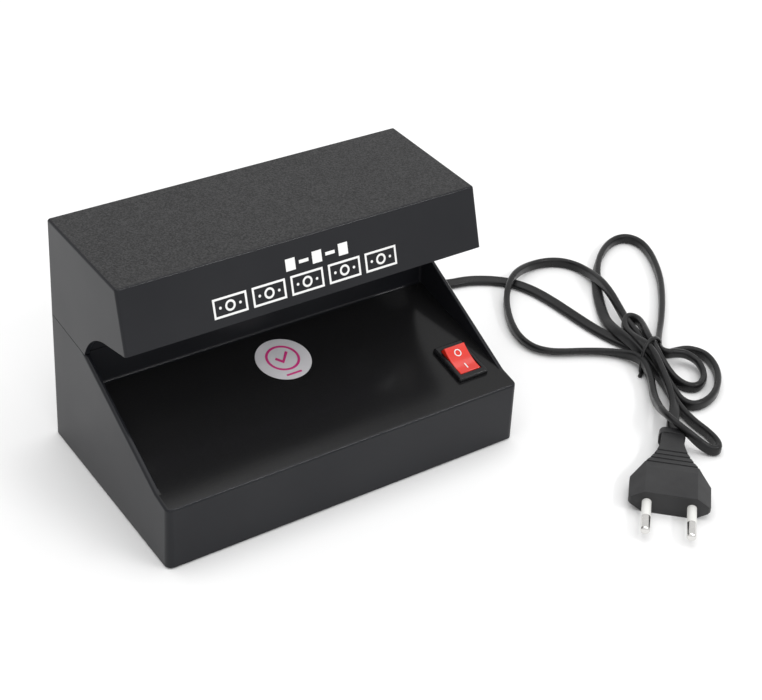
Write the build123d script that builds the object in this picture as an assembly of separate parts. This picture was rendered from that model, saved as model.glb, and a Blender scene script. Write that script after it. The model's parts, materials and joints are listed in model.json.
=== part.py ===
"""Desk-top ultraviolet banknote checker, modelled as an assembly of separate pieces.

Frame: millimetres, +Z up. The origin is on the table under the middle of the body's box. +X runs
along the long side, the front of the body faces -Y. Each function returns one piece, and the last
section writes one STEP file for each.
"""
from build123d import *
import os
from math import cos, sin, tan, radians, sqrt, pi

os.makedirs("parts", exist_ok=True)

# ---------------------------------------------------------------- body
WIDTH = 168.0                 # at the foot of the walls
DEPTH = 102.4                 # at the foot of the walls
HEIGHT = 105.7                # table to hood top
STAND = 0.8                   # the feet hold the shell this far off the table
DRAFT = 1.08                  # lean of all four outer walls, degrees
CORNER_R = 3.0                # upright outer corners
WALL = 2.2
FIT = 0.25                    # clearance between parts that slide together
TOUCH = 0.02                  # clearance between faces that rest on each other
FAR = 2 * WIDTH               # past every face of the body

# ---------------------------------------------------------------- base housing
DECK_FRONT_Z = 29.2           # deck height at the front edge
DECK_SLOPE = 10.2             # degrees
DECK_THICK = 2.2
RIM_START_Y = 10.4 - DEPTH / 2  # the side rims leave the deck here
RIM_SLOPE = 25.2              # degrees
RIM_ROUND = 1.3
CREASE_R = 8.0                # the rims sweep up out of the deck round this
CREST_R = 0.5
POCKET_BACK_Y = DEPTH / 2 - 31.2  # rear wall of the note pocket
SEAM_FRONT_Y = DEPTH / 2 - 32.6  # rear corner of the note slot
SEAM_REAR_Z = 61.4
SEAM_GAP = 0.3                # the shadow line between the housings
POCKET_ROUND = 1.2
TONGUE = 0.9                  # thickness of the tongue inside the seam
TONGUE_UP = 2.0

# ---------------------------------------------------------------- hood
HOOD_FRONT_Y = DEPTH / 2 - 61.5  # top front edge of the hood
LIP_Y = HOOD_FRONT_Y - 7.8    # lowest front edge of the hood
LIP_Z = HEIGHT - 25.6
SLOT_TOP_Y = DEPTH / 2 - 51.0  # the slot's roof edge starts to curve down here
SLOT_TOP_Z = HEIGHT - 29.9
SLOT_BEND_Y = DEPTH / 2 - 38.3
SLOT_BEND_Z = HEIGHT - 37.4
HOOD_ROUND = 1.2
POST_X = WIDTH / 2 - 10.0     # hood posts and base columns
POST_Y = DEPTH / 2 - 18.2
POST_R = 3.8
COLUMN_R = 4.4
COLUMN_BORE_R = 3.2
COLUMN_WEB = 4.0              # above the screw's head
WIRE_NOTCH = 6.0              # where the lamp's wires pass the pocket's rear wall
WIRE_NOTCH_Z = HEIGHT - 14.2

# ---------------------------------------------------------------- bottom plate and feet
PLATE_Z = 1.5
PLATE_THICK = 2.4
PLATE_WEB = 1.5               # over each screw's head
PLATE_FRONT = (WIDTH / 2 - 34.0, 6.2 - DEPTH / 2)
PLATE_REAR = (WIDTH / 2 - 20.0, DEPTH / 2 - 5.6)
BOSS_R = 3.6
FOOT_X = WIDTH / 2 - 18.0
FOOT_Y = DEPTH / 2 - 25.2
FOOT_R = 6.0
FOOT_SINK = 0.6
VENT_LENGTH = 24.0
VENT_WIDTH = 2.4
VENT_PITCH = 6.0
VENT_COUNT = 7

# ---------------------------------------------------------------- screws
SCREW_R = 1.45                # self-tapping screws of the housings
SCREW_HEAD_R = 2.75
SCREW_HEAD = 2.0
PLATE_SCREW = 11.0
HOOD_SCREW = 14.0
SMALL_SCREW_R = 1.1
SMALL_HEAD_R = 2.0
SMALL_HEAD = 1.3
SMALL_SCREW = 5.0
PILOT_SLACK = 0.05            # screws are modelled a little smaller than their holes

# ---------------------------------------------------------------- lamp
LAMP_Y = DEPTH / 2 - 49.2
LAMP_Z = HEIGHT - 16.5
LAMP_LENGTH = WIDTH - 32.1    # over the caps, without the pins
GLASS_R = 7.7
GLASS_WALL = 0.7
CAP_R = GLASS_R + 0.3
CAP_LENGTH = 11.0
CAP_WALL = 0.25
PIN_R = 1.17
PIN_SPACING = 4.75
PIN_LENGTH = 7.0
HOLDER_GAP = 0.3              # between a cap and its holder
HOLDER_THICK = 9.6
HOLDER_HALF = CAP_R + 0.5
ROTOR_R = 6.2
ROTOR_THICK = 4.2
ROTOR_FIT = 0.08
SLOT_WIDTH = 2.8
CONTACT_CAVITY_R = 5.2
CONTACT_CAVITY = 3.6
CONTACT_THICK = 0.4
REFLECTOR_TOP_Z = HEIGHT - 5.9
REFLECTOR_THICK = 0.6
REFLECTOR_SCREW_X = 42.0
REFLECTOR_TOP_HALF = 6.0
REFLECTOR_FRONT_Y = LAMP_Y - 14.0
REFLECTOR_REAR_Y = LAMP_Y + 16.0
REFLECTOR_FOOT_Z = HEIGHT - 19.7
HOLDER_X = LAMP_LENGTH / 2 + HOLDER_GAP + HOLDER_THICK / 2
HOLDER_SCREW_Y = LAMP_Y + 12.6
EAR_HALF = 3.6
EAR_Z = HEIGHT - 9.7
EAR_THICK = 2.5
ROTOR_BACK = 1.0

# ---------------------------------------------------------------- rocker switch, in the deck's plane
SWITCH_X = WIDTH / 2 - 16.1
SWITCH_Y = 21.2 - DEPTH / 2
ROCKER_W = 10.5
ROCKER_R = 7.6                # its ends are round about the pivot
BEZEL_W = ROCKER_W + 4.5
BEZEL_L = 2 * ROCKER_R + 5.8
BEZEL_H = 2.0
BEZEL_ROUND = 1.0
BODY_W = ROCKER_W + 2.4
BODY_L = 2 * ROCKER_R + 3.6
BODY_DEEP = 12.5
BODY_WALL = 1.0
CUTOUT_FIT = 0.15
CLIP_DOWN = 6.0
CLIP_OUT = 0.8
CLIP_HALF = 3.0
ROCKER_TOP = 3.4
ROCKER_DISH = 1.1
ROCKER_DROP = 3.2
ROCKER_TILT = 12.0            # degrees each side of level
ROCKER_EDGE = 0.4
ROCKER_WALL = 1.2
WINDOW_FIT = 0.3
TRUNNION_R = 1.2
TRUNNION_FIT = 0.06
TRUNNION_LONG = 0.8
TRUNNION_ROOT = 1.0           # each trunnion starts this deep in the rocker's side
PLUNGER_R = 1.2
PLUNGER_TIP = 8.3             # below the pivot
PLUNGER_TOP = -3.0
SPRING_TOP = 0.8
BLADE_PIVOT = 9.4             # below the pivot of the rocker
BLADE_W = 4.0
BLADE_L = 12.0
BLADE_THICK = 0.5
BLADE_TILT = 8.0
BLADE_V = 4.0                 # each half of the strip is bent up this much, degrees
BLADE_GAP = 0.3
TERMINAL_W = 4.8
TERMINAL_THICK = 0.8
TERMINAL_OUT = 7.0
TERMINAL_V = 5.2
FIXED_CONTACT_Z = -10.35

# ---------------------------------------------------------------- ballast board
BOARD_X = -14.0
BOARD_Y = -4.0
BOARD_L = 96.0
BOARD_W = 40.0
BOARD_THICK = 1.6
BOARD_Z = 9.5
BOARD_HOLE_IN = 4.0
STANDOFF_R = 2.8
CHOKE_AT = (-26.0, 3.0)       # from the board's middle
CHOKE_L = 20.0
CHOKE_W = 7.0
CHOKE_H = 17.0
CHOKE_LEG = 6.0
CHOKE_WINDOW = 4.0
CHOKE_YOKE = 3.5
CAN_AT = (-7.0, 3.0)
CAN_R = 5.0
CAN_H = 16.0
FILM_AT = ((-10.0, -12.0), (8.0, -12.0))
FILM_L = 13.0
FILM_W = 5.0
FILM_H = 11.0
TRANSISTOR_AT = ((22.0, -9.0), (34.0, -9.0))
TRANSISTOR_W = 8.0
TRANSISTOR_T = 3.2
TRANSISTOR_H = 11.0
TRANSISTOR_LEG = 4.0
FUSE_AT = (24.0, 2.5)
FUSE_R = 2.6
FUSE_L = 20.0
FUSE_CAP = 5.0
BLOCK_AT = (16.0, 14.0)
BLOCK_WAYS = 8
BLOCK_PITCH = 5.0
BLOCK_W = 8.0
BLOCK_H = 10.0
WIRE_R = 0.8
WIRE_BEND = 2.4
WIRE_STEP = 2.5               # between neighbouring wires
LEAD_LIFT = 12.0              # the right-hand lamp wires pass over the others

# ---------------------------------------------------------------- sticker on the deck
STICKER_X = -1.0
STICKER_Y = 2.1
STICKER_R = 12.0
STICKER_THICK = 0.2

# ---------------------------------------------------------------- cord, tie and plug
CORD_W = 5.2                  # flat twin cord
CORD_T = 3.0
GLAND_X = 20.0
GLAND_Z = 12.8
GLAND_HEAD_R = 6.2
GLAND_HEAD = 2.6
GLAND_NECK_R = 4.6
GLAND_FLANGE = 1.6
GLAND_FLANGE_R = 6.0
BOOT_LONG = 22.0
BOOT_R0 = 4.3
BOOT_R1 = 3.1
BOOT_RIBS = 5
BOOT_GROOVE = 1.4
CORD_R = 2.1                  # round tube of the same section area as the flat cord
HANK_H = CORD_W               # the turns stand on edge
HUMP_H = 8.8                  # where a turn climbs over the lead
HUMP_L = 20.0
HUMPS = ((157.0, 45.5, 30.0),)
TIE = (173.0, -38.0)          # where the tie holds the hank
TIE_AXIS = 70.0               # direction of the hank through the tie, degrees from +X
CORE_L = 40.0
CORE_W = 15.0
CORE_H = 10.4
TIE_WIDE = 3.0
TIE_THICK = 0.9
PLUG_X = 141.3                # end of the plug's neck
PLUG_Y = -89.6
PLUG_TURN = -133.2            # direction the pins point, degrees from +X
PLUG_NECK = 29.0
PLUG_BODY = 19.0
PLUG_W = 33.8
PLUG_T = 10.5
PLUG_NECK_W = 9.4
PLUG_NECK_T = 6.8
PLUG_CHAMFER_W = 6.1
PLUG_EDGE = 2.4
PLUG_SHOULDER = 13.8
PLUG_SHOULDER_IN = 4.1
PLUG_NOSE = 0.8
PLUG_FLARE = 23.0
PLUG_FLARE_MID = (2.6, 10.0)
PLUG_HUNCH = 2.0              # the top starts to fall this far ahead of the shoulder
PLUG_SLOPE = 12.0
PLUG_SLOPE_UP = 0.8
PLUG_RIB_START = 2.5
PLUG_COLLAR_WIDE = 2.0
PLUG_COLLAR_THICK = 1.4
PLUG_COLLAR_R = 2.5
PLUG_COLLAR = 3.5
PLUG_RIBS = 4
PLUG_RIB_PITCH = 3.2
PLUG_RIB = 1.0
PLUG_RIB_DEEP = 0.4
PLUG_PIN_LONG = 19.0
PLUG_PIN_R = 2.0
PLUG_SLEEVE = 10.0
PIN_ROOT = 12.0
PIN_CORE_R = 1.6
PLUG_PIN_SPACING = 18.6


# ================================================================ helpers
def deck_z(y):
    """Height of the deck at a depth y."""
    return DECK_FRONT_Z + tan(radians(DECK_SLOPE)) * (y + DEPTH / 2)


def rim_z(y):
    """Height of the side rims' crest at a depth y."""
    return deck_z(RIM_START_Y) + tan(radians(RIM_SLOPE)) * (y - RIM_START_Y)


SEAM_FRONT_Z = rim_z(SEAM_FRONT_Y)
SEAM_SLOPE = (SEAM_REAR_Z - SEAM_FRONT_Z) / (DEPTH / 2 - SEAM_FRONT_Y)


def seam_z(y):
    """Height of the seam between the housings at a depth y."""
    return SEAM_FRONT_Z + SEAM_SLOPE * (y - SEAM_FRONT_Y)


def hood_front_y(z):
    """Depth of the hood's leaning front face at a height z."""
    return HOOD_FRONT_Y + (LIP_Y - HOOD_FRONT_Y) * (HEIGHT - z) / (HEIGHT - LIP_Z)


def body_block(inset):
    """The body's whole outer form with its draft, shrunk on its four sides."""
    radius = max(CORNER_R - inset, 0.4)
    foot = RectangleRounded(WIDTH - 2 * inset, DEPTH - 2 * inset, radius)
    return Pos(0, 0, STAND) * extrude(foot, amount=HEIGHT - STAND, taper=DRAFT)


def along_x(outline, half=FAR / 2):
    """A prism along X over an outline drawn in (y, z)."""
    return extrude(Plane.YZ * make_face(outline), amount=half, both=True)


def slab(points, half=FAR / 2):
    """A prism along X over straight sides."""
    return along_x(Polyline(*points, close=True), half)


def upright(radius, x, y, z0, z1):
    """A cylinder standing at (x, y) from z0 to z1."""
    return Pos(x, y, (z0 + z1) / 2) * Cylinder(radius, z1 - z0)


def lying(radius, x0, x1, y, z):
    """A cylinder lying along X at (y, z)."""
    return Pos((x0 + x1) / 2, y, z) * Rot(0, 90, 0) * Cylinder(radius, x1 - x0)


def four(x, y):
    """The four mirrored places of a point."""
    return [(sx * x, sy * y) for sx in (-1, 1) for sy in (-1, 1)]


def both(x, y):
    """The two places of a point mirrored across the middle."""
    return [(-x, y), (x, y)]


def group(pieces):
    """Separate solids kept in one node."""
    solids = []
    for piece in pieces:
        solids.extend(piece.solids())
    return Compound(children=solids)


def pan_screw(radius, head_r, head, length):
    """A pan-head screw, head down, its shank rising from z = 0, with a cross recess."""
    shank = upright(radius, 0, 0, 0, length)
    cap = upright(head_r, 0, 0, -head, 0)
    cap = fillet(cap.edges().sort_by(Axis.Z)[0], head * 0.45)
    arm = 2 * head_r * 0.62
    recess = Box(arm, head * 0.3, head) + Box(head * 0.3, arm, head)
    return shank + cap - Pos(0, 0, -head) * recess


def mitre_radius(before, corner, after):
    """The arc at a corner of a cord's route: 0.45 of the shorter run over the tangent of half the turn."""
    run_in = Vector(*corner) - Vector(*before)
    run_out = Vector(*after) - Vector(*corner)
    half_turn = radians(run_in.get_angle(run_out)) / 2
    return 0.45 * min(run_in.length, run_out.length) / tan(half_turn)


def open_radii(points):
    return [mitre_radius(*points[i - 1:i + 2]) for i in range(1, len(points) - 1)]


def tube(points, radius):
    """A round tube along straight runs joined by tangent arcs."""
    path = FilletPolyline(*points, radius=open_radii(points))
    start = Plane(origin=path @ 0, z_dir=path % 0)
    return sweep(start * Circle(radius), path=path)


def cord(points, name):
    """A length of cord; its radii and its volume over section times length are printed."""
    solid = tube(points, CORD_R)
    path = FilletPolyline(*points, radius=open_radii(points))
    print(name, "length", round(path.length, 1), "radii", [round(r, 1) for r in open_radii(points)],
          "volume ratio", round(solid.volume / (pi * CORD_R ** 2 * path.length), 3))
    return solid


def wire(points, radius, bend):
    """An insulated hook-up wire bent round its corners."""
    path = FilletPolyline(*points, radius=bend)
    start = Plane(origin=path @ 0, z_dir=path % 0)
    return sweep(start * Circle(radius), path=path)


# ================================================================ base housing
def rim_edges(shell):
    """The outer edges along the rims' crests and round the front of the deck."""
    chosen = []
    for edge in shell.edges():
        box = edge.bounding_box()
        middle = edge.position_at(0.5)
        beside = abs(middle.X) > WIDTH / 2 - CORNER_R and box.size.X < 1 and box.size.Y > 1
        crest = beside and middle.Z > DECK_FRONT_Z - 1 and box.max.Y < SEAM_FRONT_Y + 0.1
        front = box.max.Y < CORNER_R - DEPTH / 2 + 0.1 and box.min.Z > DECK_FRONT_Z - 1
        if crest or front:
            chosen.append(edge)
    return chosen


def inner_half(z):
    """Half the width between the side walls at a height z."""
    return WIDTH / 2 - WALL - tan(radians(DRAFT)) * (z - STAND)


def crest_cutter(side):
    """What the rounding of a side wall's inner crest takes away."""
    y0 = RIM_START_Y + 3 * CREST_R
    y1 = SEAM_FRONT_Y - CREST_R
    start = Vector(side * inner_half(rim_z(y0)), y0, rim_z(y0))
    end = Vector(side * inner_half(rim_z(y1)), y1, rim_z(y1))
    place = Plane(origin=start, x_dir=(side, 0, 0), z_dir=(end - start).normalized())
    up = 1 if place.y_dir.Z > 0 else -1
    corner = Pos(CREST_R / 2, -up * CREST_R / 2) * Rectangle(CREST_R, CREST_R)
    corner -= Pos(CREST_R, -up * CREST_R) * Circle(CREST_R)
    corner += Pos(-CREST_R / 2, up * CREST_R / 4) * Rectangle(CREST_R, 1.5 * CREST_R)
    corner += Pos(CREST_R / 2, up * CREST_R / 2) * Rectangle(CREST_R, CREST_R)
    return extrude(place * corner, amount=(end - start).length)


def deck_place():
    """The deck's own plane at the switch: x along the body, y up the slope, z out of the deck."""
    slope = radians(DECK_SLOPE)
    return Plane(origin=(SWITCH_X, SWITCH_Y, deck_z(SWITCH_Y)), x_dir=(1, 0, 0),
                 z_dir=(0, -sin(slope), cos(slope)))


def base_housing():
    outline = [(-FAR, 0), (-FAR, deck_z(-FAR)), (RIM_START_Y, deck_z(RIM_START_Y)),
               (SEAM_FRONT_Y, SEAM_FRONT_Z), (FAR, seam_z(FAR)), (FAR, 0)]
    shell = body_block(0) & slab(outline)
    crease = [e for e in shell.edges() if abs(e.position_at(0.5).Y - RIM_START_Y) < 0.01]
    shell = fillet([e for e in crease if e.length > WIDTH / 2], CREASE_R)
    shell = fillet(rim_edges(shell), RIM_ROUND)
    over_deck = [(-FAR, deck_z(-FAR)), (POCKET_BACK_Y, deck_z(POCKET_BACK_Y)),
                 (POCKET_BACK_Y, HEIGHT), (-FAR, HEIGHT)]
    shell -= body_block(WALL) & slab(over_deck)
    back = [e for e in shell.edges() if abs(e.position_at(0.5).Y - POCKET_BACK_Y) < 0.01
            and e.position_at(0.5).Z < seam_z(POCKET_BACK_Y) - 1 and e.bounding_box().min.Z > DECK_FRONT_Z]
    shell = fillet(back, POCKET_ROUND)
    for side in (-1, 1):
        shell -= crest_cutter(side)

    partition = POCKET_BACK_Y + WALL
    under_deck = [(-FAR, -1), (-FAR, deck_z(-FAR) - DECK_THICK), (partition, deck_z(partition) - DECK_THICK),
                  (partition, HEIGHT), (FAR, HEIGHT), (FAR, -1)]
    open_foot = Pos(0, 0, -STAND) * body_block(WALL)
    inside = body_block(WALL) + (open_foot & slab([(-FAR, 0), (FAR, 0), (FAR, 2 * STAND), (-FAR, 2 * STAND)]))
    shell -= inside & slab(under_deck)

    tongue = body_block(WALL - TONGUE) - body_block(WALL)
    tongue &= slab([(partition, seam_z(partition) - 1), (FAR, seam_z(FAR) - 1),
                    (FAR, seam_z(FAR) + TONGUE_UP), (partition, seam_z(partition) + TONGUE_UP)])
    shell += tongue

    foot_z = PLATE_Z + PLATE_THICK
    pad_z = PLATE_Z + SCREW_HEAD + PLATE_WEB + TOUCH
    hollow = body_block(WALL - 0.5)
    for x, y in both(*PLATE_FRONT):
        boss = upright(BOSS_R, x, y, pad_z, HEIGHT) & slab(
            [(-FAR, 0), (-FAR, deck_z(-FAR) - 0.5), (FAR, deck_z(FAR) - 0.5), (FAR, 0)])
        boss &= hollow
        shell += boss
        shell -= upright(SCREW_R + PILOT_SLACK, x, y, pad_z - 1, pad_z + PLATE_SCREW)
    for x, y in both(*PLATE_REAR):
        shell += upright(BOSS_R, x, y, pad_z, pad_z + PLATE_SCREW + 1) & hollow
        shell -= upright(SCREW_R + PILOT_SLACK, x, y, pad_z - 1, pad_z + PLATE_SCREW)
    for x, y in both(POST_X, POST_Y):
        top = seam_z(y)
        column = upright(COLUMN_R, x, y, foot_z + TOUCH, top)
        rib_x = (abs(x) + WIDTH / 2 - WALL / 2) / 2
        rib = Pos(rib_x if x > 0 else -rib_x, y, (foot_z + top) / 2) * Box(
            WIDTH / 2 - WALL / 2 - abs(x), WALL, top - foot_z - 2 * TOUCH)
        shell += (column + rib) & hollow
        shell -= upright(COLUMN_BORE_R, x, y, 0, top - COLUMN_WEB)
        shell -= upright(SCREW_R + PILOT_SLACK, x, y, 0, top + 1)

    place = deck_place()
    shell -= place * Box(BODY_W + 2 * CUTOUT_FIT, BODY_L + 2 * CUTOUT_FIT, 4 * DECK_THICK)
    shell -= Pos(GLAND_X, DEPTH / 2, GLAND_Z) * Rot(90, 0, 0) * Cylinder(GLAND_NECK_R + TOUCH, 4 * WALL)
    return shell


# ================================================================ hood
def slot_roof():
    """The lower edge of the hood's side walls, from the lip to the rear corner of the slot."""
    lip = (LIP_Y, LIP_Z)
    bend = (SLOT_TOP_Y, SLOT_TOP_Z)
    straight = Line(lip, bend)
    curve = ThreePointArc(bend, (SLOT_BEND_Y, SLOT_BEND_Z), (SEAM_FRONT_Y, SEAM_FRONT_Z + SEAM_GAP))
    return straight + curve


def top_housing():
    gap = SEAM_GAP
    rest = Polyline((SEAM_FRONT_Y, SEAM_FRONT_Z + gap), (FAR, seam_z(FAR) + gap), (FAR, FAR),
                    (hood_front_y(FAR), FAR), (LIP_Y, LIP_Z))
    shell = body_block(0) & along_x(slot_roof() + rest)
    top = [e for e in shell.edges() if e.bounding_box().min.Z > HEIGHT - 0.5]
    front = [e for e in shell.edges() if abs(e.position_at(0.5).X) > WIDTH / 2 - CORNER_R
             and e.bounding_box().max.Y < HOOD_FRONT_Y + 0.1 and e.bounding_box().size.Z > 10]
    shell = fillet(top + front, HOOD_ROUND)

    roof = HEIGHT - WALL
    inner = body_block(WALL)
    lamp_room = [(hood_front_y(0) + WALL, 0), (POCKET_BACK_Y, 0), (POCKET_BACK_Y, roof),
                 (hood_front_y(roof) + WALL, roof)]
    shell -= inner & slab(lamp_room)
    partition = POCKET_BACK_Y + WALL
    rear_room = [(partition, 0), (FAR, 0), (FAR, roof), (partition, roof)]
    shell -= inner & slab(rear_room)
    rebate = [(partition - FIT, 0), (FAR, 0), (FAR, seam_z(FAR) + TONGUE_UP + TOUCH),
              (partition - FIT, seam_z(partition - FIT) + TONGUE_UP + TOUCH)]
    shell -= body_block(WALL - TONGUE - FIT / 2) & slab(rebate)

    for x, y in both(POST_X, POST_Y):
        shell += upright(POST_R, x, y, seam_z(y + POST_R) + TOUCH, roof + 1)
        shell -= upright(SCREW_R + PILOT_SLACK, x, y, 0, seam_z(y) + HOOD_SCREW)
    for x, y in both(REFLECTOR_SCREW_X, LAMP_Y):
        shell += upright(BOSS_R, x, y, REFLECTOR_TOP_Z + REFLECTOR_THICK + TOUCH, roof + 1)
        shell -= upright(SMALL_SCREW_R + PILOT_SLACK, x, y, 0, REFLECTOR_TOP_Z + SMALL_SCREW + TOUCH)
    for x, y in both(HOLDER_X, HOLDER_SCREW_Y):
        shell += upright(EAR_HALF, x, y, EAR_Z + EAR_THICK + TOUCH, roof + 1)
        shell -= upright(SMALL_SCREW_R + PILOT_SLACK, x, y, 0, EAR_Z + SMALL_SCREW + TOUCH)
    for side in (-1, 1):
        shell -= Pos(side * HOLDER_X, POCKET_BACK_Y + WALL / 2, WIRE_NOTCH_Z) * Box(
            WIRE_NOTCH, 2 * WALL, WIRE_NOTCH)
    return shell


# ================================================================ bottom plate, feet, screws
def plate_screw_places():
    return both(*PLATE_FRONT) + both(*PLATE_REAR)


def foot_places():
    return four(FOOT_X, FOOT_Y)


def board_holes():
    dx = BOARD_L / 2 - BOARD_HOLE_IN
    dy = BOARD_W / 2 - BOARD_HOLE_IN
    return [(BOARD_X + x, BOARD_Y + y) for x, y in four(dx, dy)]


def bottom_plate():
    top = PLATE_Z + PLATE_THICK
    foot_level = Pos(0, 0, -STAND) * body_block(WALL + FIT)
    plate = foot_level & slab([(-FAR, PLATE_Z), (FAR, PLATE_Z), (FAR, top), (-FAR, top)])
    for x, y in plate_screw_places():
        pad_top = PLATE_Z + SCREW_HEAD + PLATE_WEB
        plate += upright(BOSS_R + 0.4, x, y, PLATE_Z, pad_top) & foot_level
        plate -= upright(SCREW_HEAD_R + FIT, x, y, 0, PLATE_Z + SCREW_HEAD)
        plate -= upright(SCREW_R + FIT, x, y, 0, HEIGHT)
    for x, y in both(POST_X, POST_Y):
        plate -= upright(COLUMN_BORE_R, x, y, 0, HEIGHT)
    for x, y in foot_places():
        plate -= upright(FOOT_R + FIT, x, y, 0, PLATE_Z + FOOT_SINK)
    for x, y in board_holes():
        plate += upright(STANDOFF_R, x, y, PLATE_Z, BOARD_Z - TOUCH)
        plate -= upright(SMALL_SCREW_R + PILOT_SLACK, x, y, BOARD_Z + BOARD_THICK - SMALL_SCREW, HEIGHT)
    middle = (VENT_COUNT - 1) / 2
    for i in range(VENT_COUNT):
        vent = SlotOverall(VENT_LENGTH, VENT_WIDTH)
        plate -= Pos(BOARD_X + (i - middle) * VENT_PITCH, BOARD_Y, 0) * extrude(
            Rot(0, 0, 90) * vent, amount=2 * top)
    return plate


def rubber_feet():
    pads = []
    for x, y in foot_places():
        pad = upright(FOOT_R, x, y, 0, PLATE_Z + FOOT_SINK - TOUCH)
        pads.append(fillet(pad.edges().sort_by(Axis.Z)[0], 0.6))
    return group(pads)


def plate_screws():
    screw = pan_screw(SCREW_R, SCREW_HEAD_R, SCREW_HEAD - TOUCH, PLATE_SCREW)
    return group([Pos(x, y, PLATE_Z + SCREW_HEAD - TOUCH) * screw for x, y in plate_screw_places()])


def hood_screws():
    screw = pan_screw(SCREW_R, SCREW_HEAD_R, SCREW_HEAD, HOOD_SCREW)
    return group([Pos(x, y, seam_z(y) - COLUMN_WEB - TOUCH) * screw for x, y in both(POST_X, POST_Y)])


def board_screws():
    screw = Rot(180, 0, 0) * pan_screw(SMALL_SCREW_R, SMALL_HEAD_R, SMALL_HEAD, SMALL_SCREW)
    return group([Pos(x, y, BOARD_Z + BOARD_THICK + TOUCH) * screw for x, y in board_holes()])


def lamp_screws():
    screw = pan_screw(SMALL_SCREW_R, SMALL_HEAD_R, SMALL_HEAD, SMALL_SCREW)
    under_reflector = [Pos(x, y, REFLECTOR_TOP_Z - TOUCH) * screw for x, y in both(REFLECTOR_SCREW_X, LAMP_Y)]
    under_ears = [Pos(x, y, EAR_Z - TOUCH) * screw for x, y in both(HOLDER_X, HOLDER_SCREW_Y)]
    return group(under_reflector + under_ears)


# ================================================================ lamp
def uv_tube_glass():
    half = LAMP_LENGTH / 2 - CAP_WALL - TOUCH
    outer = lying(GLASS_R, -half, half, LAMP_Y, LAMP_Z)
    outer = fillet(outer.edges(), GLASS_R * 0.45)
    inner = lying(GLASS_R - GLASS_WALL, GLASS_WALL - half, half - GLASS_WALL, LAMP_Y, LAMP_Z)
    inner = fillet(inner.edges(), GLASS_R * 0.35)
    return outer - inner


def uv_tube_caps():
    caps = []
    end = LAMP_LENGTH / 2
    for side in (-1, 1):
        low, high = sorted((side * (end - CAP_LENGTH), side * end))
        cap = lying(CAP_R, low, high, LAMP_Y, LAMP_Z)
        rim = cap.edges().sort_by(Axis.X)[0 if side < 0 else -1]
        cap = fillet(rim, 0.8)
        inner_low, inner_high = sorted((side * (end - CAP_LENGTH - 1), side * (end - CAP_WALL)))
        cap -= lying(GLASS_R + TOUCH, inner_low, inner_high, LAMP_Y, LAMP_Z)
        for turn in (-1, 1):
            z = LAMP_Z
            y = LAMP_Y + turn * PIN_SPACING / 2
            cap -= lying(PIN_R + TOUCH, end * side - 2, end * side + 2, y, z)
        caps.append(cap)
    return group(caps)


def uv_tube_pins():
    pins = []
    for side in (-1, 1):
        start = side * (LAMP_LENGTH / 2 - CAP_WALL)
        low, high = sorted((start, start + side * (PIN_LENGTH + CAP_WALL)))
        for turn in (-1, 1):
            pin = lying(PIN_R, low, high, LAMP_Y + turn * PIN_SPACING / 2, LAMP_Z)
            tip = pin.edges().sort_by(Axis.X)[0 if side < 0 else -1]
            pins.append(fillet(tip, PIN_R * 0.6))
    return group(pins)


def holder_face(side):
    """Where a lampholder's face towards the tube is, and which way is away from the tube."""
    return side * (LAMP_LENGTH / 2 + HOLDER_GAP)


def span_x(side, near, far):
    """A stretch along X measured from a holder's face away from the tube."""
    return sorted((holder_face(side) + side * near, holder_face(side) + side * far))


def lampholder(side):
    x0, x1 = span_x(side, 0, HOLDER_THICK)
    middle = (x0 + x1) / 2
    roof = HEIGHT - WALL - TOUCH
    body = lying(HOLDER_HALF, x0, x1, LAMP_Y, LAMP_Z)
    body += Pos(middle, LAMP_Y, (LAMP_Z + roof) / 2) * Box(x1 - x0, 2 * HOLDER_HALF, roof - LAMP_Z)
    ear_back = HOLDER_SCREW_Y + EAR_HALF
    ear_front = LAMP_Y + HOLDER_HALF - 1
    body += Pos(middle, (ear_front + ear_back) / 2, EAR_Z + EAR_THICK / 2) * Box(
        x1 - x0, ear_back - ear_front, EAR_THICK)
    body -= upright(SMALL_SCREW_R + FIT, side * HOLDER_X, HOLDER_SCREW_Y, EAR_Z - 1, HEIGHT)
    bore = span_x(side, -1, ROTOR_THICK + ROTOR_FIT)
    body -= lying(ROTOR_R + ROTOR_FIT, *bore, LAMP_Y, LAMP_Z)
    cavity = span_x(side, ROTOR_THICK, ROTOR_THICK + CONTACT_CAVITY)
    body -= lying(CONTACT_CAVITY_R, *cavity, LAMP_Y, LAMP_Z)
    entry = span_x(side, -1, ROTOR_THICK + CONTACT_CAVITY)
    body -= Pos((entry[0] + entry[1]) / 2, LAMP_Y, LAMP_Z - HOLDER_HALF) * Box(
        entry[1] - entry[0], SLOT_WIDTH, 2 * HOLDER_HALF)
    return body


def lampholder_rotors():
    """The turning drums: each has a slot right across for the two pins."""
    drums = []
    for side in (-1, 1):
        x0, x1 = span_x(side, TOUCH, ROTOR_THICK)
        drum = lying(ROTOR_R, x0, x1, LAMP_Y, LAMP_Z)
        slot_h = 2 * (PIN_R + TOUCH)
        drum -= Pos((x0 + x1) / 2, LAMP_Y, LAMP_Z) * Box(ROTOR_THICK + 1, PIN_SPACING + slot_h, slot_h)
        drum -= Pos((x0 + x1) / 2 - side * ROTOR_BACK, LAMP_Y, LAMP_Z) * Box(
            ROTOR_THICK, 3 * ROTOR_R, slot_h)
        drums.append(drum)
    return group(drums)


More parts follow.
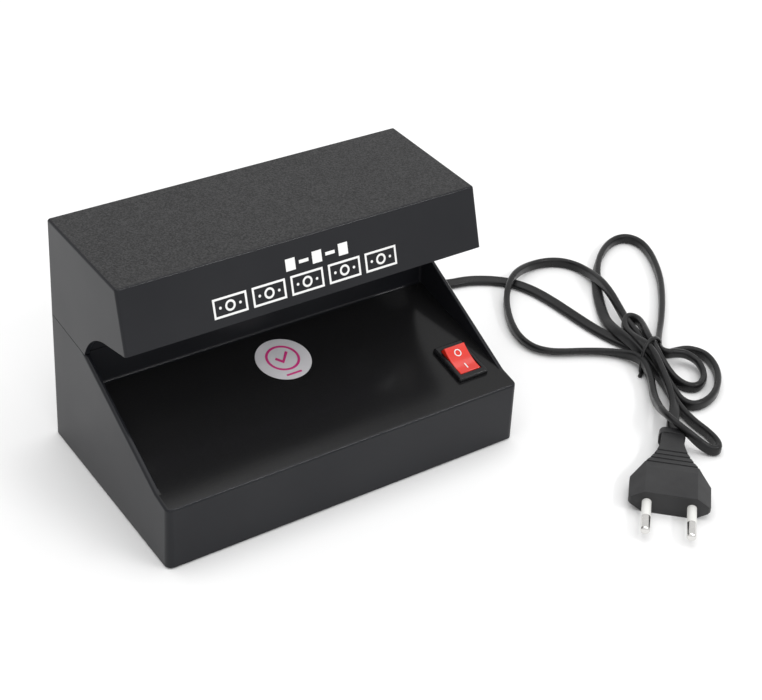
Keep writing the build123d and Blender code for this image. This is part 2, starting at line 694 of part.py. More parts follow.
def lampholder_contacts():
    """Four bowed bronze springs, one beside each pin."""
    springs = []
    radius = CONTACT_CAVITY_R - TOUCH
    for side in (-1, 1):
        x0, x1 = span_x(side, ROTOR_THICK + ROTOR_FIT + 0.1, ROTOR_THICK + CONTACT_CAVITY - 0.1)
        ring = lying(radius, x0, x1, LAMP_Y, LAMP_Z) - lying(radius - CONTACT_THICK, x0, x1, LAMP_Y, LAMP_Z)
        for turn in (-1, 1):
            keep = Pos((x0 + x1) / 2, LAMP_Y + turn * radius, LAMP_Z) * Box(9, radius, radius)
            springs.append(ring & keep)
    return group(springs)


def reflector():
    front_top = LAMP_Y - REFLECTOR_TOP_HALF
    rear_top = LAMP_Y + REFLECTOR_TOP_HALF
    mid = REFLECTOR_TOP_Z + REFLECTOR_THICK / 2
    sheet = Polyline((REFLECTOR_FRONT_Y, REFLECTOR_FOOT_Z), (front_top, mid), (rear_top, mid),
                     (REFLECTOR_REAR_Y, REFLECTOR_FOOT_Z))
    outline = trace(sheet, REFLECTOR_THICK)
    half = LAMP_LENGTH / 2 - 1
    channel = extrude(Plane.YZ * outline, amount=half, both=True)
    for x, y in both(REFLECTOR_SCREW_X, LAMP_Y):
        channel -= upright(SMALL_SCREW_R + FIT, x, y, REFLECTOR_FOOT_Z, HEIGHT)
    return channel


# ================================================================ rocker switch, drawn in the deck's plane
def switch_housing():
    bezel = Pos(0, 0, BEZEL_H / 2 + TOUCH / 2) * Box(BEZEL_W, BEZEL_L, BEZEL_H - TOUCH)
    bezel = fillet(bezel.edges().filter_by(Axis.Z), BEZEL_ROUND)
    bezel = fillet(bezel.edges().group_by(Axis.Z)[-1], BEZEL_ROUND)
    body = Pos(0, 0, (TOUCH - BODY_DEEP) / 2) * Box(BODY_W, BODY_L, BODY_DEEP + 3 * TOUCH)
    housing = bezel + body
    window = Pos(0, 0, -BODY_DEEP / 2 + BODY_WALL + BEZEL_H) * Box(
        ROCKER_W + 2 * WINDOW_FIT, 2 * (ROCKER_R + WINDOW_FIT), BODY_DEEP + 2 * BEZEL_H)
    housing -= window
    socket = ROCKER_W / 2 + WINDOW_FIT + TRUNNION_LONG
    housing -= lying(TRUNNION_R + TRUNNION_FIT, -socket, socket, 0, 0)
    for v in (0, TERMINAL_V):
        slot = Box(TERMINAL_W + 2 * TOUCH, TERMINAL_THICK + 2 * TOUCH, 3 * BODY_WALL)
        housing -= Pos(0, v, -BODY_DEEP) * slot
    for side in (-1, 1):
        catch = -DECK_THICK - CUTOUT_FIT
        wedge = Polyline((0, catch), (0, -CLIP_DOWN), (side * CLIP_OUT, catch),
                         close=True)
        clip = extrude(Plane.YZ * make_face(wedge), amount=CLIP_HALF, both=True)
        housing += Pos(0, side * BODY_L / 2, 0) * clip
    return deck_place() * housing


def rocker_shape():
    """The rocker level: round ends about the pivot, dished top, flat foot, a trunnion each side."""
    end_v = sqrt(ROCKER_R ** 2 - ROCKER_TOP ** 2)
    foot_v = sqrt(ROCKER_R ** 2 - ROCKER_DROP ** 2)
    dish = ThreePointArc((-end_v, ROCKER_TOP), (0, ROCKER_TOP - ROCKER_DISH), (end_v, ROCKER_TOP))
    front = ThreePointArc((end_v, ROCKER_TOP), (ROCKER_R, 0), (foot_v, -ROCKER_DROP))
    foot = Line((foot_v, -ROCKER_DROP), (-foot_v, -ROCKER_DROP))
    back = ThreePointArc((-foot_v, -ROCKER_DROP), (-ROCKER_R, 0), (-end_v, ROCKER_TOP))
    half = ROCKER_W / 2
    shape = extrude(Plane.YZ * make_face(dish + front + foot + back), amount=half, both=True)
    top = [e for e in shape.edges() if e.bounding_box().min.Z > ROCKER_TOP - ROCKER_DISH - 0.1]
    shape = fillet(top, ROCKER_EDGE)
    hollow = Pos(0, 0, -ROCKER_DROP) * Box(ROCKER_W - 2 * ROCKER_WALL, 2 * foot_v - 4 * ROCKER_WALL,
                                           2 * (ROCKER_DROP - 0.4))
    shape -= hollow
    shape += upright(PLUNGER_R + 0.9, 0, 0, -ROCKER_DROP - 1.2, ROCKER_TOP - ROCKER_DISH - 1)
    shape -= upright(PLUNGER_R + TRUNNION_FIT, 0, 0, -ROCKER_DROP - 2, SPRING_TOP)
    half += WINDOW_FIT + TRUNNION_LONG - TRUNNION_FIT
    root = ROCKER_W / 2 - TRUNNION_ROOT
    trunnions = lying(TRUNNION_R, -half, half, 0, 0) - lying(TRUNNION_R * 2, -root, root, 0, 0)
    return shape + trunnions


def tilted_rocker(part):
    """The front end, marked I, is pressed down."""
    return deck_place() * Rot(ROCKER_TILT, 0, 0) * part


def switch_rocker():
    return tilted_rocker(rocker_shape())


def rocker_plunger():
    tip = -PLUNGER_TIP
    pin = upright(PLUNGER_R, 0, 0, tip + PLUNGER_R, PLUNGER_TOP)
    ball = Pos(0, 0, tip + PLUNGER_R) * Sphere(PLUNGER_R)
    return tilted_rocker(pin + ball)


def plunger_spring():
    """The coil spring's outer form, as a sleeve."""
    sleeve = upright(PLUNGER_R, 0, 0, PLUNGER_TOP + TOUCH, SPRING_TOP - TOUCH)
    sleeve -= upright(PLUNGER_R - 0.45, 0, 0, PLUNGER_TOP, SPRING_TOP)
    return tilted_rocker(sleeve)


def switch_blade():
    """The see-saw contact: a shallow V of strip on the middle terminal's edge."""
    end = BLADE_L / 2
    rise = end * tan(radians(BLADE_V))
    strip = Polyline((-end, rise), (0, 0), (end, rise))
    blade = extrude(Plane.YZ * trace(strip, BLADE_THICK), amount=BLADE_W / 2, both=True)
    return deck_place() * Pos(0, 0, -BLADE_PIVOT) * Rot(-BLADE_TILT, 0, 0) * blade


def switch_terminals():
    """The middle terminal carries the blade, the rear one has the fixed contact."""
    foot = -BODY_DEEP - TERMINAL_OUT
    pieces = []
    for v, top in ((0, -BLADE_PIVOT - BLADE_THICK / 2 - BLADE_GAP), (TERMINAL_V, FIXED_CONTACT_Z)):
        tab = Pos(0, v, (top + foot) / 2) * Box(TERMINAL_W, TERMINAL_THICK, top - foot)
        eye = Rot(90, 0, 0) * Cylinder(TERMINAL_THICK, 2 * TERMINAL_THICK)
        tab -= Pos(0, v, foot + TERMINAL_OUT / 3) * eye
        pieces.append(tab)
    return deck_place() * group(pieces)


# ================================================================ ballast board
def board_top():
    return BOARD_Z + BOARD_THICK


def on_board(dx, dy):
    """A place on the board's top, measured from its middle."""
    return Pos(BOARD_X + dx, BOARD_Y + dy, board_top() + TOUCH)


def circuit_board():
    board = Pos(BOARD_X, BOARD_Y, BOARD_Z + BOARD_THICK / 2) * Box(BOARD_L, BOARD_W, BOARD_THICK)
    board = fillet(board.edges().filter_by(Axis.Z), 1.5)
    for x, y in board_holes():
        board -= upright(SMALL_SCREW_R + FIT, x, y, 0, HEIGHT)
    return board


def choke_core():
    """Two E cores face to face: three legs and two yokes round two windows."""
    core = Pos(0, 0, CHOKE_H / 2) * Box(CHOKE_L, CHOKE_W, CHOKE_H)
    core = chamfer(core.edges().filter_by(Axis.Y), 0.3)
    for side in (-1, 1):
        core -= Pos(side * (CHOKE_LEG + CHOKE_WINDOW) / 2, 0, CHOKE_H / 2) * Box(
            CHOKE_WINDOW, 2 * CHOKE_W, CHOKE_H - 2 * CHOKE_YOKE)
    return on_board(*CHOKE_AT) * core


def choke_winding():
    high = CHOKE_H - 2 * CHOKE_YOKE - 2 * TOUCH
    reach = CHOKE_WINDOW - 0.2
    coil = Pos(0, 0, CHOKE_H / 2) * Box(CHOKE_LEG + 2 * reach, CHOKE_W + 2 * reach, high)
    coil = fillet(coil.edges().filter_by(Axis.Z), reach * 0.7)
    coil -= Pos(0, 0, CHOKE_H / 2) * Box(CHOKE_LEG + 2 * TOUCH, CHOKE_W + 2 * TOUCH, CHOKE_H)
    return on_board(*CHOKE_AT) * coil


def smoothing_capacitor():
    can = upright(CAN_R, 0, 0, 0, CAN_H)
    can = fillet(can.edges(), 0.7)
    groove = upright(CAN_R + 1, 0, 0, 1.6, 2.4) - upright(CAN_R - 0.4, 0, 0, 1.6, 2.4)
    can -= groove
    can -= Pos(0, 0, CAN_H) * (Box(CAN_R, 0.5, 0.6) + Box(0.5, CAN_R, 0.6))
    return on_board(*CAN_AT) * can


def film_capacitors():
    block = Pos(0, 0, FILM_H / 2) * Box(FILM_L, FILM_W, FILM_H)
    block = fillet(block.edges().group_by(Axis.Z)[-1], 1.2)
    return group([on_board(*at) * block for at in FILM_AT])


def power_transistors():
    body = Pos(0, 0, TRANSISTOR_LEG + TRANSISTOR_H / 2) * Box(TRANSISTOR_W, TRANSISTOR_T, TRANSISTOR_H)
    body -= Pos(0, 0, TRANSISTOR_LEG + TRANSISTOR_H * 0.75) * Rot(90, 0, 0) * Cylinder(1.5, 2 * TRANSISTOR_T)
    for i in (-1, 0, 1):
        body += Pos(i * TRANSISTOR_W * 0.3, 0, TRANSISTOR_LEG / 2) * Box(0.8, 0.6, TRANSISTOR_LEG)
    return group([on_board(*at) * body for at in TRANSISTOR_AT])


def board_fuse():
    glass = lying(FUSE_R - 0.3, -FUSE_L / 2, FUSE_L / 2, 0, FUSE_R)
    for side in (-1, 1):
        x0, x1 = sorted((side * FUSE_L / 2, side * (FUSE_L / 2 - FUSE_CAP)))
        glass += lying(FUSE_R, x0, x1, 0, FUSE_R)
    return on_board(*FUSE_AT) * glass


def terminal_block():
    length = BLOCK_WAYS * BLOCK_PITCH
    block = Pos(0, 0, BLOCK_H / 2) * Box(length, BLOCK_W, BLOCK_H)
    block = chamfer(block.edges().filter_by(Axis.X).group_by(Axis.Z)[-1], 1.2)
    for i in range(BLOCK_WAYS):
        x = (i - (BLOCK_WAYS - 1) / 2) * BLOCK_PITCH
        block -= upright(1.5, x, 0, BLOCK_H - 2.5, BLOCK_H + 1)
        block -= Pos(x, BLOCK_W / 2, BLOCK_H * 0.4) * Box(2.6, 4, 2.6)
    return on_board(*BLOCK_AT) * block


def block_way(i):
    """The mouth of one way of the terminal block."""
    x = BOARD_X + BLOCK_AT[0] + (i - (BLOCK_WAYS - 1) / 2) * BLOCK_PITCH
    return (x, BOARD_Y + BLOCK_AT[1] + BLOCK_W / 2, board_top() + TOUCH + BLOCK_H * 0.4)


def mains_leads():
    """The two cores of the cord from its gland to the terminal block."""
    leads = []
    for i in range(2):
        x, y, z = block_way(4 + i)
        gland_x = GLAND_X + (i - 0.5) * WIRE_STEP
        bend_y = gland_inner_y() - 6 - i * WIRE_STEP
        leads.append(wire([(gland_x, gland_inner_y() - TOUCH, GLAND_Z), (gland_x, bend_y, GLAND_Z),
                           (x, bend_y - 14, z), (x, y + TOUCH, z)], WIRE_R, WIRE_BEND))
    return group(leads)


def switch_leads():
    """From the block round the board's end to the foot of each switch terminal."""
    leads = []
    for i, v in enumerate((TERMINAL_V, 0)):
        x, y, z = block_way(6 + i)
        aside = (0.5 - i) * WIRE_STEP
        foot = -BODY_DEEP - TERMINAL_OUT - TOUCH
        end = (deck_place() * Pos(aside, v, foot)).position
        under = (deck_place() * Pos(aside, v, foot - 2.5 * WIRE_BEND)).position
        turn_y = y + 6 + (1 - i) * WIRE_STEP
        leads.append(wire([(x, y + TOUCH, z), (x, turn_y, z), (under.X, turn_y, under.Z),
                           (under.X, under.Y, under.Z), (end.X, end.Y, end.Z)], WIRE_R, WIRE_BEND))
    return group(leads)


def lamp_leads():
    """A pair to each lampholder: along behind the pocket's rear wall, up, and forward through a notch."""
    leads = []
    behind = POCKET_BACK_Y + WALL + WIRE_STEP / 2
    holder_y = LAMP_Y + HOLDER_HALF + TOUCH
    for side, way, lift in ((-1, 0, 0), (-1, 1, 0), (1, 3, LEAD_LIFT), (1, 2, LEAD_LIFT)):
        x, y, z = block_way(way)
        back = 1 if way in (1, 2) else 0
        run_y = behind + back * WIRE_STEP
        up_x = side * (HOLDER_X + (0.5 - back) * WIRE_STEP)
        points = [(x, y + TOUCH, z), (x, run_y, z)]
        if lift:
            points.append((x, run_y, z + lift))
        points += [(up_x, run_y, z + lift), (up_x, run_y, WIRE_NOTCH_Z), (up_x, holder_y, WIRE_NOTCH_Z)]
        leads.append(wire(points, WIRE_R, WIRE_BEND))
    return group(leads)


# ================================================================ sticker
def deck_sticker():
    slope = radians(DECK_SLOPE)
    place = Plane(origin=(STICKER_X, STICKER_Y, deck_z(STICKER_Y)), x_dir=(1, 0, 0),
                  z_dir=(0, -sin(slope), cos(slope)))
    return place * Pos(0, 0, TOUCH + STICKER_THICK / 2) * Cylinder(STICKER_R, STICKER_THICK)


# ================================================================ cord
def rear_y(z):
    """The rear wall's outer face at a height z."""
    return DEPTH / 2 - tan(radians(DRAFT)) * (z - STAND)


def gland_outer_y():
    return rear_y(GLAND_Z - GLAND_HEAD_R) + TOUCH


def gland_inner_y():
    return rear_y(GLAND_Z) - WALL - GLAND_FLANGE - 2 * TOUCH


def cord_strain_relief():
    """A moulded bushing: head, neck through the wall, flange inside and a tapered boot outside."""
    head_y = gland_outer_y()
    inner_wall = rear_y(GLAND_Z + GLAND_FLANGE_R) - WALL - TOUCH
    axis = Pos(GLAND_X, 0, GLAND_Z) * Rot(-90, 0, 0)
    head = axis * Pos(0, 0, head_y + GLAND_HEAD / 2) * Cylinder(GLAND_HEAD_R, GLAND_HEAD)
    head = fillet(head.edges().sort_by(Axis.Y)[-1], 0.9)
    neck = axis * Pos(0, 0, (head_y + GLAND_HEAD + gland_inner_y()) / 2) * Cylinder(
        GLAND_NECK_R, head_y + GLAND_HEAD - gland_inner_y())
    flange = axis * Pos(0, 0, (inner_wall + gland_inner_y()) / 2) * Cylinder(
        GLAND_FLANGE_R, inner_wall - gland_inner_y())
    boot = axis * Pos(0, 0, head_y + GLAND_HEAD + BOOT_LONG / 2) * Cone(BOOT_R0, BOOT_R1, BOOT_LONG)
    bushing = head + neck + flange + boot
    for i in range(BOOT_RIBS):
        at = head_y + GLAND_HEAD + (i + 1) * BOOT_LONG / (BOOT_RIBS + 1)
        radius = BOOT_R0 + (BOOT_R1 - BOOT_R0) * (i + 1) / (BOOT_RIBS + 1)
        ring = axis * Pos(0, 0, at) * (Cylinder(radius + 1, BOOT_GROOVE) - Cylinder(radius - 0.5, BOOT_GROOVE))
        bushing -= ring
    return bushing


def lead_points():
    """The cord from the boot's end round to the hank, chosen by hand."""
    start_y = gland_outer_y() + GLAND_HEAD + BOOT_LONG + TOUCH
    lie = CORD_R + 0.1
    return [(GLAND_X, start_y, GLAND_Z), (GLAND_X, start_y + 11, GLAND_Z), (26, 101, 7.5), (42, 109.5, 2.8),
            (64, 105.5, lie), (84, 92, lie), (106, 71.5, lie), (129, 61, lie), (148, 52, lie),
            (161, 39, lie), (166.6, 21, lie), (167.6, 4, lie), (169.6, -12, lie), (173.4, -26, lie)]


def cord_lead():
    return cord(lead_points(), "cord_lead")


def tail_points():
    """The cord from the hank to the end of the plug's neck."""
    z = PLUG_T / 2
    end = plug_frame().origin + plug_frame().z_dir * TOUCH
    before = end + plug_frame().z_dir * 9
    return [(168, -50, 6), (162, -64, 7.5), (153.5, -77, 7.5), (before.X, before.Y, z), (end.X, end.Y, z)]


def cord_tail():
    return cord(tail_points(), "cord_tail")


HANK_LOOPS = {
    "left": [(175, -30), (186, -2), (195, 20), (197, 37), (189, 50), (174, 54), (158, 46), (143, 31),
             (133, 9), (134, -5), (146, -16), (166, -29)],
    "upper": [(174, -26), (177, -5), (190, 16), (205, 35), (223, 50), (235, 52), (240, 43), (233, 24),
              (218, 2), (198, -19), (182, -33)],
    "outer": [(178, -34), (194, -40), (200, -49), (196, -61), (183, -74), (168, -77.5), (161.5, -71),
              (168, -55)],
    "inner": [(176, -44), (187, -47.5), (191.5, -55), (186, -64), (176, -67.5), (170.5, -60), (171, -48)],
    "bottom": [(166, -45), (159.5, -58), (155, -70), (152, -82), (150.8, -94), (153, -104), (157, -104),
               (159, -95), (159, -84), (162, -71), (173, -50)],
    "arch": [(177, -33), (186.5, -17), (185, -9.5), (179, -11.5), (173, -24)],
}


def closed_loop(points):
    """A strip of cord on its edge round a closed route."""
    around = [points[-1]] + points + [points[0]]
    radii = [mitre_radius(*around[i - 1:i + 2]) for i in range(1, len(around) - 1)]
    path = FilletPolyline(*points, radius=radii, close=True)
    return trace(path, CORD_T)


def cord_hank():
    """The tied hank as one solid: its loops on edge, and the bundle through the tie."""
    core = Pos(*TIE) * Rot(0, 0, TIE_AXIS) * extrude(SlotOverall(CORE_L, CORE_W), amount=CORE_H)
    hank = core
    for points in HANK_LOOPS.values():
        hank += extrude(closed_loop(points), amount=HANK_H)
    for x, y, turn in HUMPS:
        bridge = extrude(SlotOverall(HUMP_L, CORD_T), amount=HUMP_H)
        hank += Pos(x, y, 0) * Rot(0, 0, turn) * bridge
    hank -= tube(lead_points(), CORD_R + TOUCH)
    hank -= tube(tail_points(), CORD_R + TOUCH)
    return hank


def cord_tie():
    """A wire tie twisted once round the bundle."""
    band = Box(TIE_WIDE, CORE_W + 2 * TIE_THICK + 2 * TOUCH, CORE_H + TIE_THICK + TOUCH)
    band = Pos(0, 0, (CORE_H + TIE_THICK + TOUCH) / 2) * band
    band = fillet(band.edges().filter_by(Axis.X).group_by(Axis.Z)[-1], 2 * TIE_THICK)
    band -= Pos(0, 0, CORE_H / 2) * Box(2 * TIE_WIDE, CORE_W + 2 * TOUCH, CORE_H + 2 * TOUCH)
    return Pos(*TIE) * Rot(0, 0, TIE_AXIS) * band


# ================================================================ plug
def plug_frame():
    """At the end of the plug's neck: z back along the cord, x across the pins, y up."""
    way = radians(PLUG_TURN)
    back = (-cos(way), -sin(way), 0)
    return Plane(origin=(PLUG_X, PLUG_Y, PLUG_T / 2), x_dir=(-sin(way), cos(way), 0), z_dir=back)


def plug_place():
    """At the middle of the pin face: z from the pins back to the cord, x across, y up."""
    frame = plug_frame()
    face = frame.origin - frame.z_dir * (PLUG_NECK + PLUG_BODY)
    return Plane(origin=face, x_dir=frame.x_dir, z_dir=frame.z_dir)


def plug_half_thick(z):
    """Half the plug's thickness at a distance z from its pin face."""
    slim = PLUG_NECK_T / 2
    knots = [(0, PLUG_T / 2), (PLUG_BODY - PLUG_HUNCH, PLUG_T / 2),
             (PLUG_BODY + PLUG_SLOPE, slim + PLUG_SLOPE_UP), (PLUG_BODY + PLUG_NECK, slim)]
    for (z0, half0), (z1, half1) in zip(knots, knots[1:]):
        if z <= z1:
            return half0 + (half1 - half0) * (z - z0) / (z1 - z0)
    return slim


def plug_body():
    half = PLUG_W / 2
    long = PLUG_NECK + PLUG_BODY
    neck = PLUG_NECK_W / 2
    waist = PLUG_BODY + PLUG_FLARE
    shoulder = half - PLUG_SHOULDER_IN
    bend = (neck + PLUG_FLARE_MID[0], PLUG_BODY + PLUG_FLARE_MID[1])
    right = Polyline((0, 0), (half - PLUG_NOSE, 0), (half, PLUG_NOSE), (half, PLUG_SHOULDER),
                     (shoulder, PLUG_BODY))
    flare = ThreePointArc((shoulder, PLUG_BODY), bend, (neck, waist))
    end = Polyline((neck, waist), (neck, long), (0, long), (0, 0))
    plan = make_face(right + flare + end)
    plan = plan + mirror(plan, about=Plane.YZ)
    block = extrude(Plane.XZ * plan, amount=PLUG_T, both=True)

    stations = (0, PLUG_BODY - PLUG_HUNCH, PLUG_BODY + PLUG_SLOPE, long)
    upper = [(plug_half_thick(z), z) for z in stations]
    lower = [(-half_thick, z) for half_thick, z in reversed(upper)]
    profile = make_face(Polyline(*upper, *lower, close=True))
    block &= extrude(Plane(origin=(0, 0, 0), x_dir=(0, 1, 0), z_dir=(1, 0, 0)) * profile,
                     amount=PLUG_W, both=True)

    edge = PLUG_EDGE / 2
    thick = PLUG_T / 2
    flat = half - PLUG_CHAMFER_W
    section = Polyline((-flat, thick), (flat, thick), (half, edge), (half, -edge), (flat, -thick),
                       (-flat, -thick), (-half, -edge), (-half, edge), close=True)
    block &= extrude(make_face(section), amount=long)
    for i in range(PLUG_RIBS):
        z = PLUG_BODY + PLUG_RIB_START + i * PLUG_RIB_PITCH
        for up in (-1, 1):
            deep = plug_half_thick(z) - PLUG_RIB_DEEP
            block -= Pos(0, up * (deep + thick), z) * Box(PLUG_W, 2 * thick, PLUG_RIB)
    ring = RectangleRounded(PLUG_NECK_W + PLUG_COLLAR_WIDE, PLUG_NECK_T + PLUG_COLLAR_THICK, PLUG_COLLAR_R)
    collar = extrude(ring, amount=PLUG_COLLAR)
    block += Pos(0, 0, long - PLUG_COLLAR) * collar
    for side in (-1, 1):
        block -= Pos(side * PLUG_PIN_SPACING / 2, 0, 0) * Cylinder(PLUG_PIN_R + TOUCH, 2 * PIN_ROOT)
    return plug_place() * block


def pin_axis(side):
    return plug_place() * Pos(side * PLUG_PIN_SPACING / 2, 0, 0)


def plug_pins():
    pins = []
    for side in (-1, 1):
        core = upright(PIN_CORE_R, 0, 0, -PLUG_SLEEVE - 1, PIN_ROOT - TOUCH)
        tip = upright(PLUG_PIN_R, 0, 0, -PLUG_PIN_LONG, -PLUG_SLEEVE)
        tip = fillet(tip.edges().sort_by(Axis.Z)[0], PLUG_PIN_R * 0.7)
        pins.append(pin_axis(side) * (core + tip))
    return group(pins)


def plug_sleeves():
    """The insulated half of each pin."""
    sleeves = []
    for side in (-1, 1):
        sleeve = upright(PLUG_PIN_R, 0, 0, TOUCH - PLUG_SLEEVE, PIN_ROOT - TOUCH)
        sleeve -= upright(PIN_CORE_R + TOUCH, 0, 0, -2 * PLUG_SLEEVE, 2 * PIN_ROOT)
        sleeves.append(pin_axis(side) * sleeve)
    return group(sleeves)


# ================================================================ the pieces, one file each
PIECES = {
    "base_housing": base_housing,
    "top_housing": top_housing,
    "bottom_plate": bottom_plate,
    "rubber_feet": rubber_feet,
    "plate_screws": plate_screws,
    "hood_screws": hood_screws,
    "board_screws": board_screws,
    "lamp_screws": lamp_screws,
    "uv_tube_glass": uv_tube_glass,
    "uv_tube_caps": uv_tube_caps,
    "uv_tube_pins": uv_tube_pins,
    "lampholder_left": lambda: lampholder(-1),
    "lampholder_right": lambda: lampholder(1),
    "lampholder_rotors": lampholder_rotors,
    "lampholder_contacts": lampholder_contacts,
    "reflector": reflector,
    "switch_housing": switch_housing,
    "switch_rocker": switch_rocker,
    "rocker_plunger": rocker_plunger,
    "plunger_spring": plunger_spring,
    "switch_blade": switch_blade,
    "switch_terminals": switch_terminals,
    "circuit_board": circuit_board,
    "choke_core": choke_core,
    "choke_winding": choke_winding,
    "smoothing_capacitor": smoothing_capacitor,
    "film_capacitors": film_capacitors,
    "power_transistors": power_transistors,
    "board_fuse": board_fuse,
    "terminal_block": terminal_block,
    "mains_leads": mains_leads,
    "switch_leads": switch_leads,
    "lamp_leads": lamp_leads,
    "deck_sticker": deck_sticker,
    "cord_strain_relief": cord_strain_relief,
    "cord_lead": cord_lead,
    "cord_hank": cord_hank,
    "cord_tie": cord_tie,
    "cord_tail": cord_tail,
    "plug_body": plug_body,
    "plug_pins": plug_pins,
    "plug_sleeves": plug_sleeves,
}

for name, make in PIECES.items():
    export_step(make(), f"parts/{name}.step")
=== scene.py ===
"""Looks of the counter-top ultraviolet banknote checker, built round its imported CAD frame."""

import json
import math

import bmesh
import bpy
from mathutils import Matrix, Vector


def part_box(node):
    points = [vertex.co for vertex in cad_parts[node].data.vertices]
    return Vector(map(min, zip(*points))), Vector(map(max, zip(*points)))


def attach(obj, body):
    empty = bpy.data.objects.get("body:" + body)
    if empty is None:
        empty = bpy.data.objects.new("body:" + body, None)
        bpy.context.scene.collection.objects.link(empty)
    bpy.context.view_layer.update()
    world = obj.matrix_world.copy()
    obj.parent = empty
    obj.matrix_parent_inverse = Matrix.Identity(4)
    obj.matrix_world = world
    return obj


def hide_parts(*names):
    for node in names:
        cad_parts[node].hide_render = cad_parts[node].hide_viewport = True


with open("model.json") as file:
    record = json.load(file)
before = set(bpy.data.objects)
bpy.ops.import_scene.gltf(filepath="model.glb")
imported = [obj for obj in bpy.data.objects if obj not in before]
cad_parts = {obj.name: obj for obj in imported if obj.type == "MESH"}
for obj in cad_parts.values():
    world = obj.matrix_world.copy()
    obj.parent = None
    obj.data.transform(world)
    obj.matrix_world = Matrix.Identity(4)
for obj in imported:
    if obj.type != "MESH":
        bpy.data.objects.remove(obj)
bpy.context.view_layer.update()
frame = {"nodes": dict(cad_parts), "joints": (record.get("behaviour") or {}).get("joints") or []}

MM = 0.001


# ================================================================ camera
CAMERA_SENSOR = 36.0
CAMERA_LENS = 78.4
CAMERA_PLACE = (-0.2998, -0.4805, 0.4411)
CAMERA_AZIMUTH = math.radians(-35.86)
CAMERA_ELEVATION = math.radians(34.86)
CAMERA_ROLL = math.radians(3.70)


def camera():
    """The camera, turned by its azimuth, its elevation and a small roll about its own line of sight."""
    data = bpy.data.cameras.new("camera")
    data.sensor_width = CAMERA_SENSOR
    data.lens = CAMERA_LENS
    obj = bpy.data.objects.new("camera", data)
    bpy.context.scene.collection.objects.link(obj)
    azimuth, elevation, roll = CAMERA_AZIMUTH, CAMERA_ELEVATION, CAMERA_ROLL
    back = Vector((math.sin(azimuth) * math.cos(elevation), -math.cos(azimuth) * math.cos(elevation),
                   math.sin(elevation)))
    right = (-back).cross(Vector((0, 0, 1))).normalized()
    up = right.cross(-back)
    turned_right = right * math.cos(roll) + up * math.sin(roll)
    turned_up = up * math.cos(roll) - right * math.sin(roll)
    turn = Matrix((turned_right, turned_up, back)).transposed().to_4x4()
    obj.matrix_world = Matrix.Translation(CAMERA_PLACE) @ turn
    bpy.context.scene.camera = obj


camera()

# ================================================================ cord
CORD_WIDTH = 5.2
CORD_THICK = 3.0
SECTION_POINTS = 24
ROUTE_ORDER = 3
ROUTE_STEPS = 8

# How far the flat cord is turned about its own line, in degrees: 0 lies flat, 90 stands on its edge
FLAT = 0
LEAN = -20
SLANT = 38
EDGE = 90

# Each stretch of the route is a list of x, y, z in millimetres and that turn.
# The lead leaves the rear wall, passes round behind the body and reaches the knot.
LEAD = [
    (20, 75.7, 12.8, FLAT), (20, 86.7, 12.8, FLAT), (26, 101, 7.5, FLAT), (42, 109.5, 2.8, FLAT),
    (64, 105.5, 1.7, FLAT), (84, 92, 1.8, -8), (106, 71.5, 2.0, LEAN), (129, 61, 2.0, LEAN),
    (140, 59.4, 2.0, LEAN), (150, 54.2, 2.0, LEAN), (158, 47.2, 2.0, LEAN), (163, 37.2, 2.0, LEAN),
    (165.4, 25, 2.0, LEAN), (166.6, 11, 2.0, LEAN), (167.8, -3, 2.0, LEAN), (170.2, -14.5, 1.9, -10),
    (173.6, -24.5, 1.7, FLAT), (177.6, -32, 1.7, FLAT), (183, -36.5, 1.8, 20), (189.4, -39, 2.4, 60),
]
# The loops of the hank, each from the knot and back to it
OUTER_RIGHT = [
    (195.4, -41.6, 2.7, EDGE), (199.6, -48.6, 2.7, EDGE), (197.2, -58, 2.7, EDGE), (191, -67, 2.7, EDGE),
    (182.2, -74, 2.7, EDGE), (173.4, -77, 2.7, EDGE), (166.5, -76.2, 2.7, EDGE),
    (164.4, -71, 2.7, EDGE), (166.8, -63, 2.7, EDGE), (170.5, -53.5, 2.9, EDGE), (173.2, -45, 3.6, EDGE),
    (175.2, -37, 4.8, EDGE),
]
LEFT = [
    (177.4, -29, 5.9, EDGE), (180.2, -20, 5.6, EDGE), (183.7, -10, 4.6, EDGE), (187, -1, 5.2, EDGE),
    (190, 8.5, 6.6, EDGE), (192.4, 17.5, 6.9, EDGE), (194.8, 26, 5.4, EDGE), (196.8, 34.5, 3.2, EDGE),
    (196, 42.5, 2.7, EDGE), (191.5, 49.3, 2.7, EDGE), (184, 53.2, 2.7, EDGE), (174.5, 53.6, 3.0, EDGE),
    (165.5, 50.2, 5.0, EDGE), (157.5, 45.8, 6.0, EDGE), (150, 39.7, 5.2, EDGE), (144.3, 33, 3.1, EDGE),
    (139, 24.5, 2.7, EDGE), (134.4, 15.5, 2.7, EDGE), (131.7, 6, 2.6, 70), (132.4, -3, 2.3, 50),
    (137, -9.2, 2.2, SLANT), (144, -13.4, 2.2, SLANT), (152, -17.2, 2.2, SLANT), (159.7, -22.2, 2.3, 45),
    (165.4, -28.4, 2.9, 70), (168.2, -35.5, 4.4, EDGE),
]
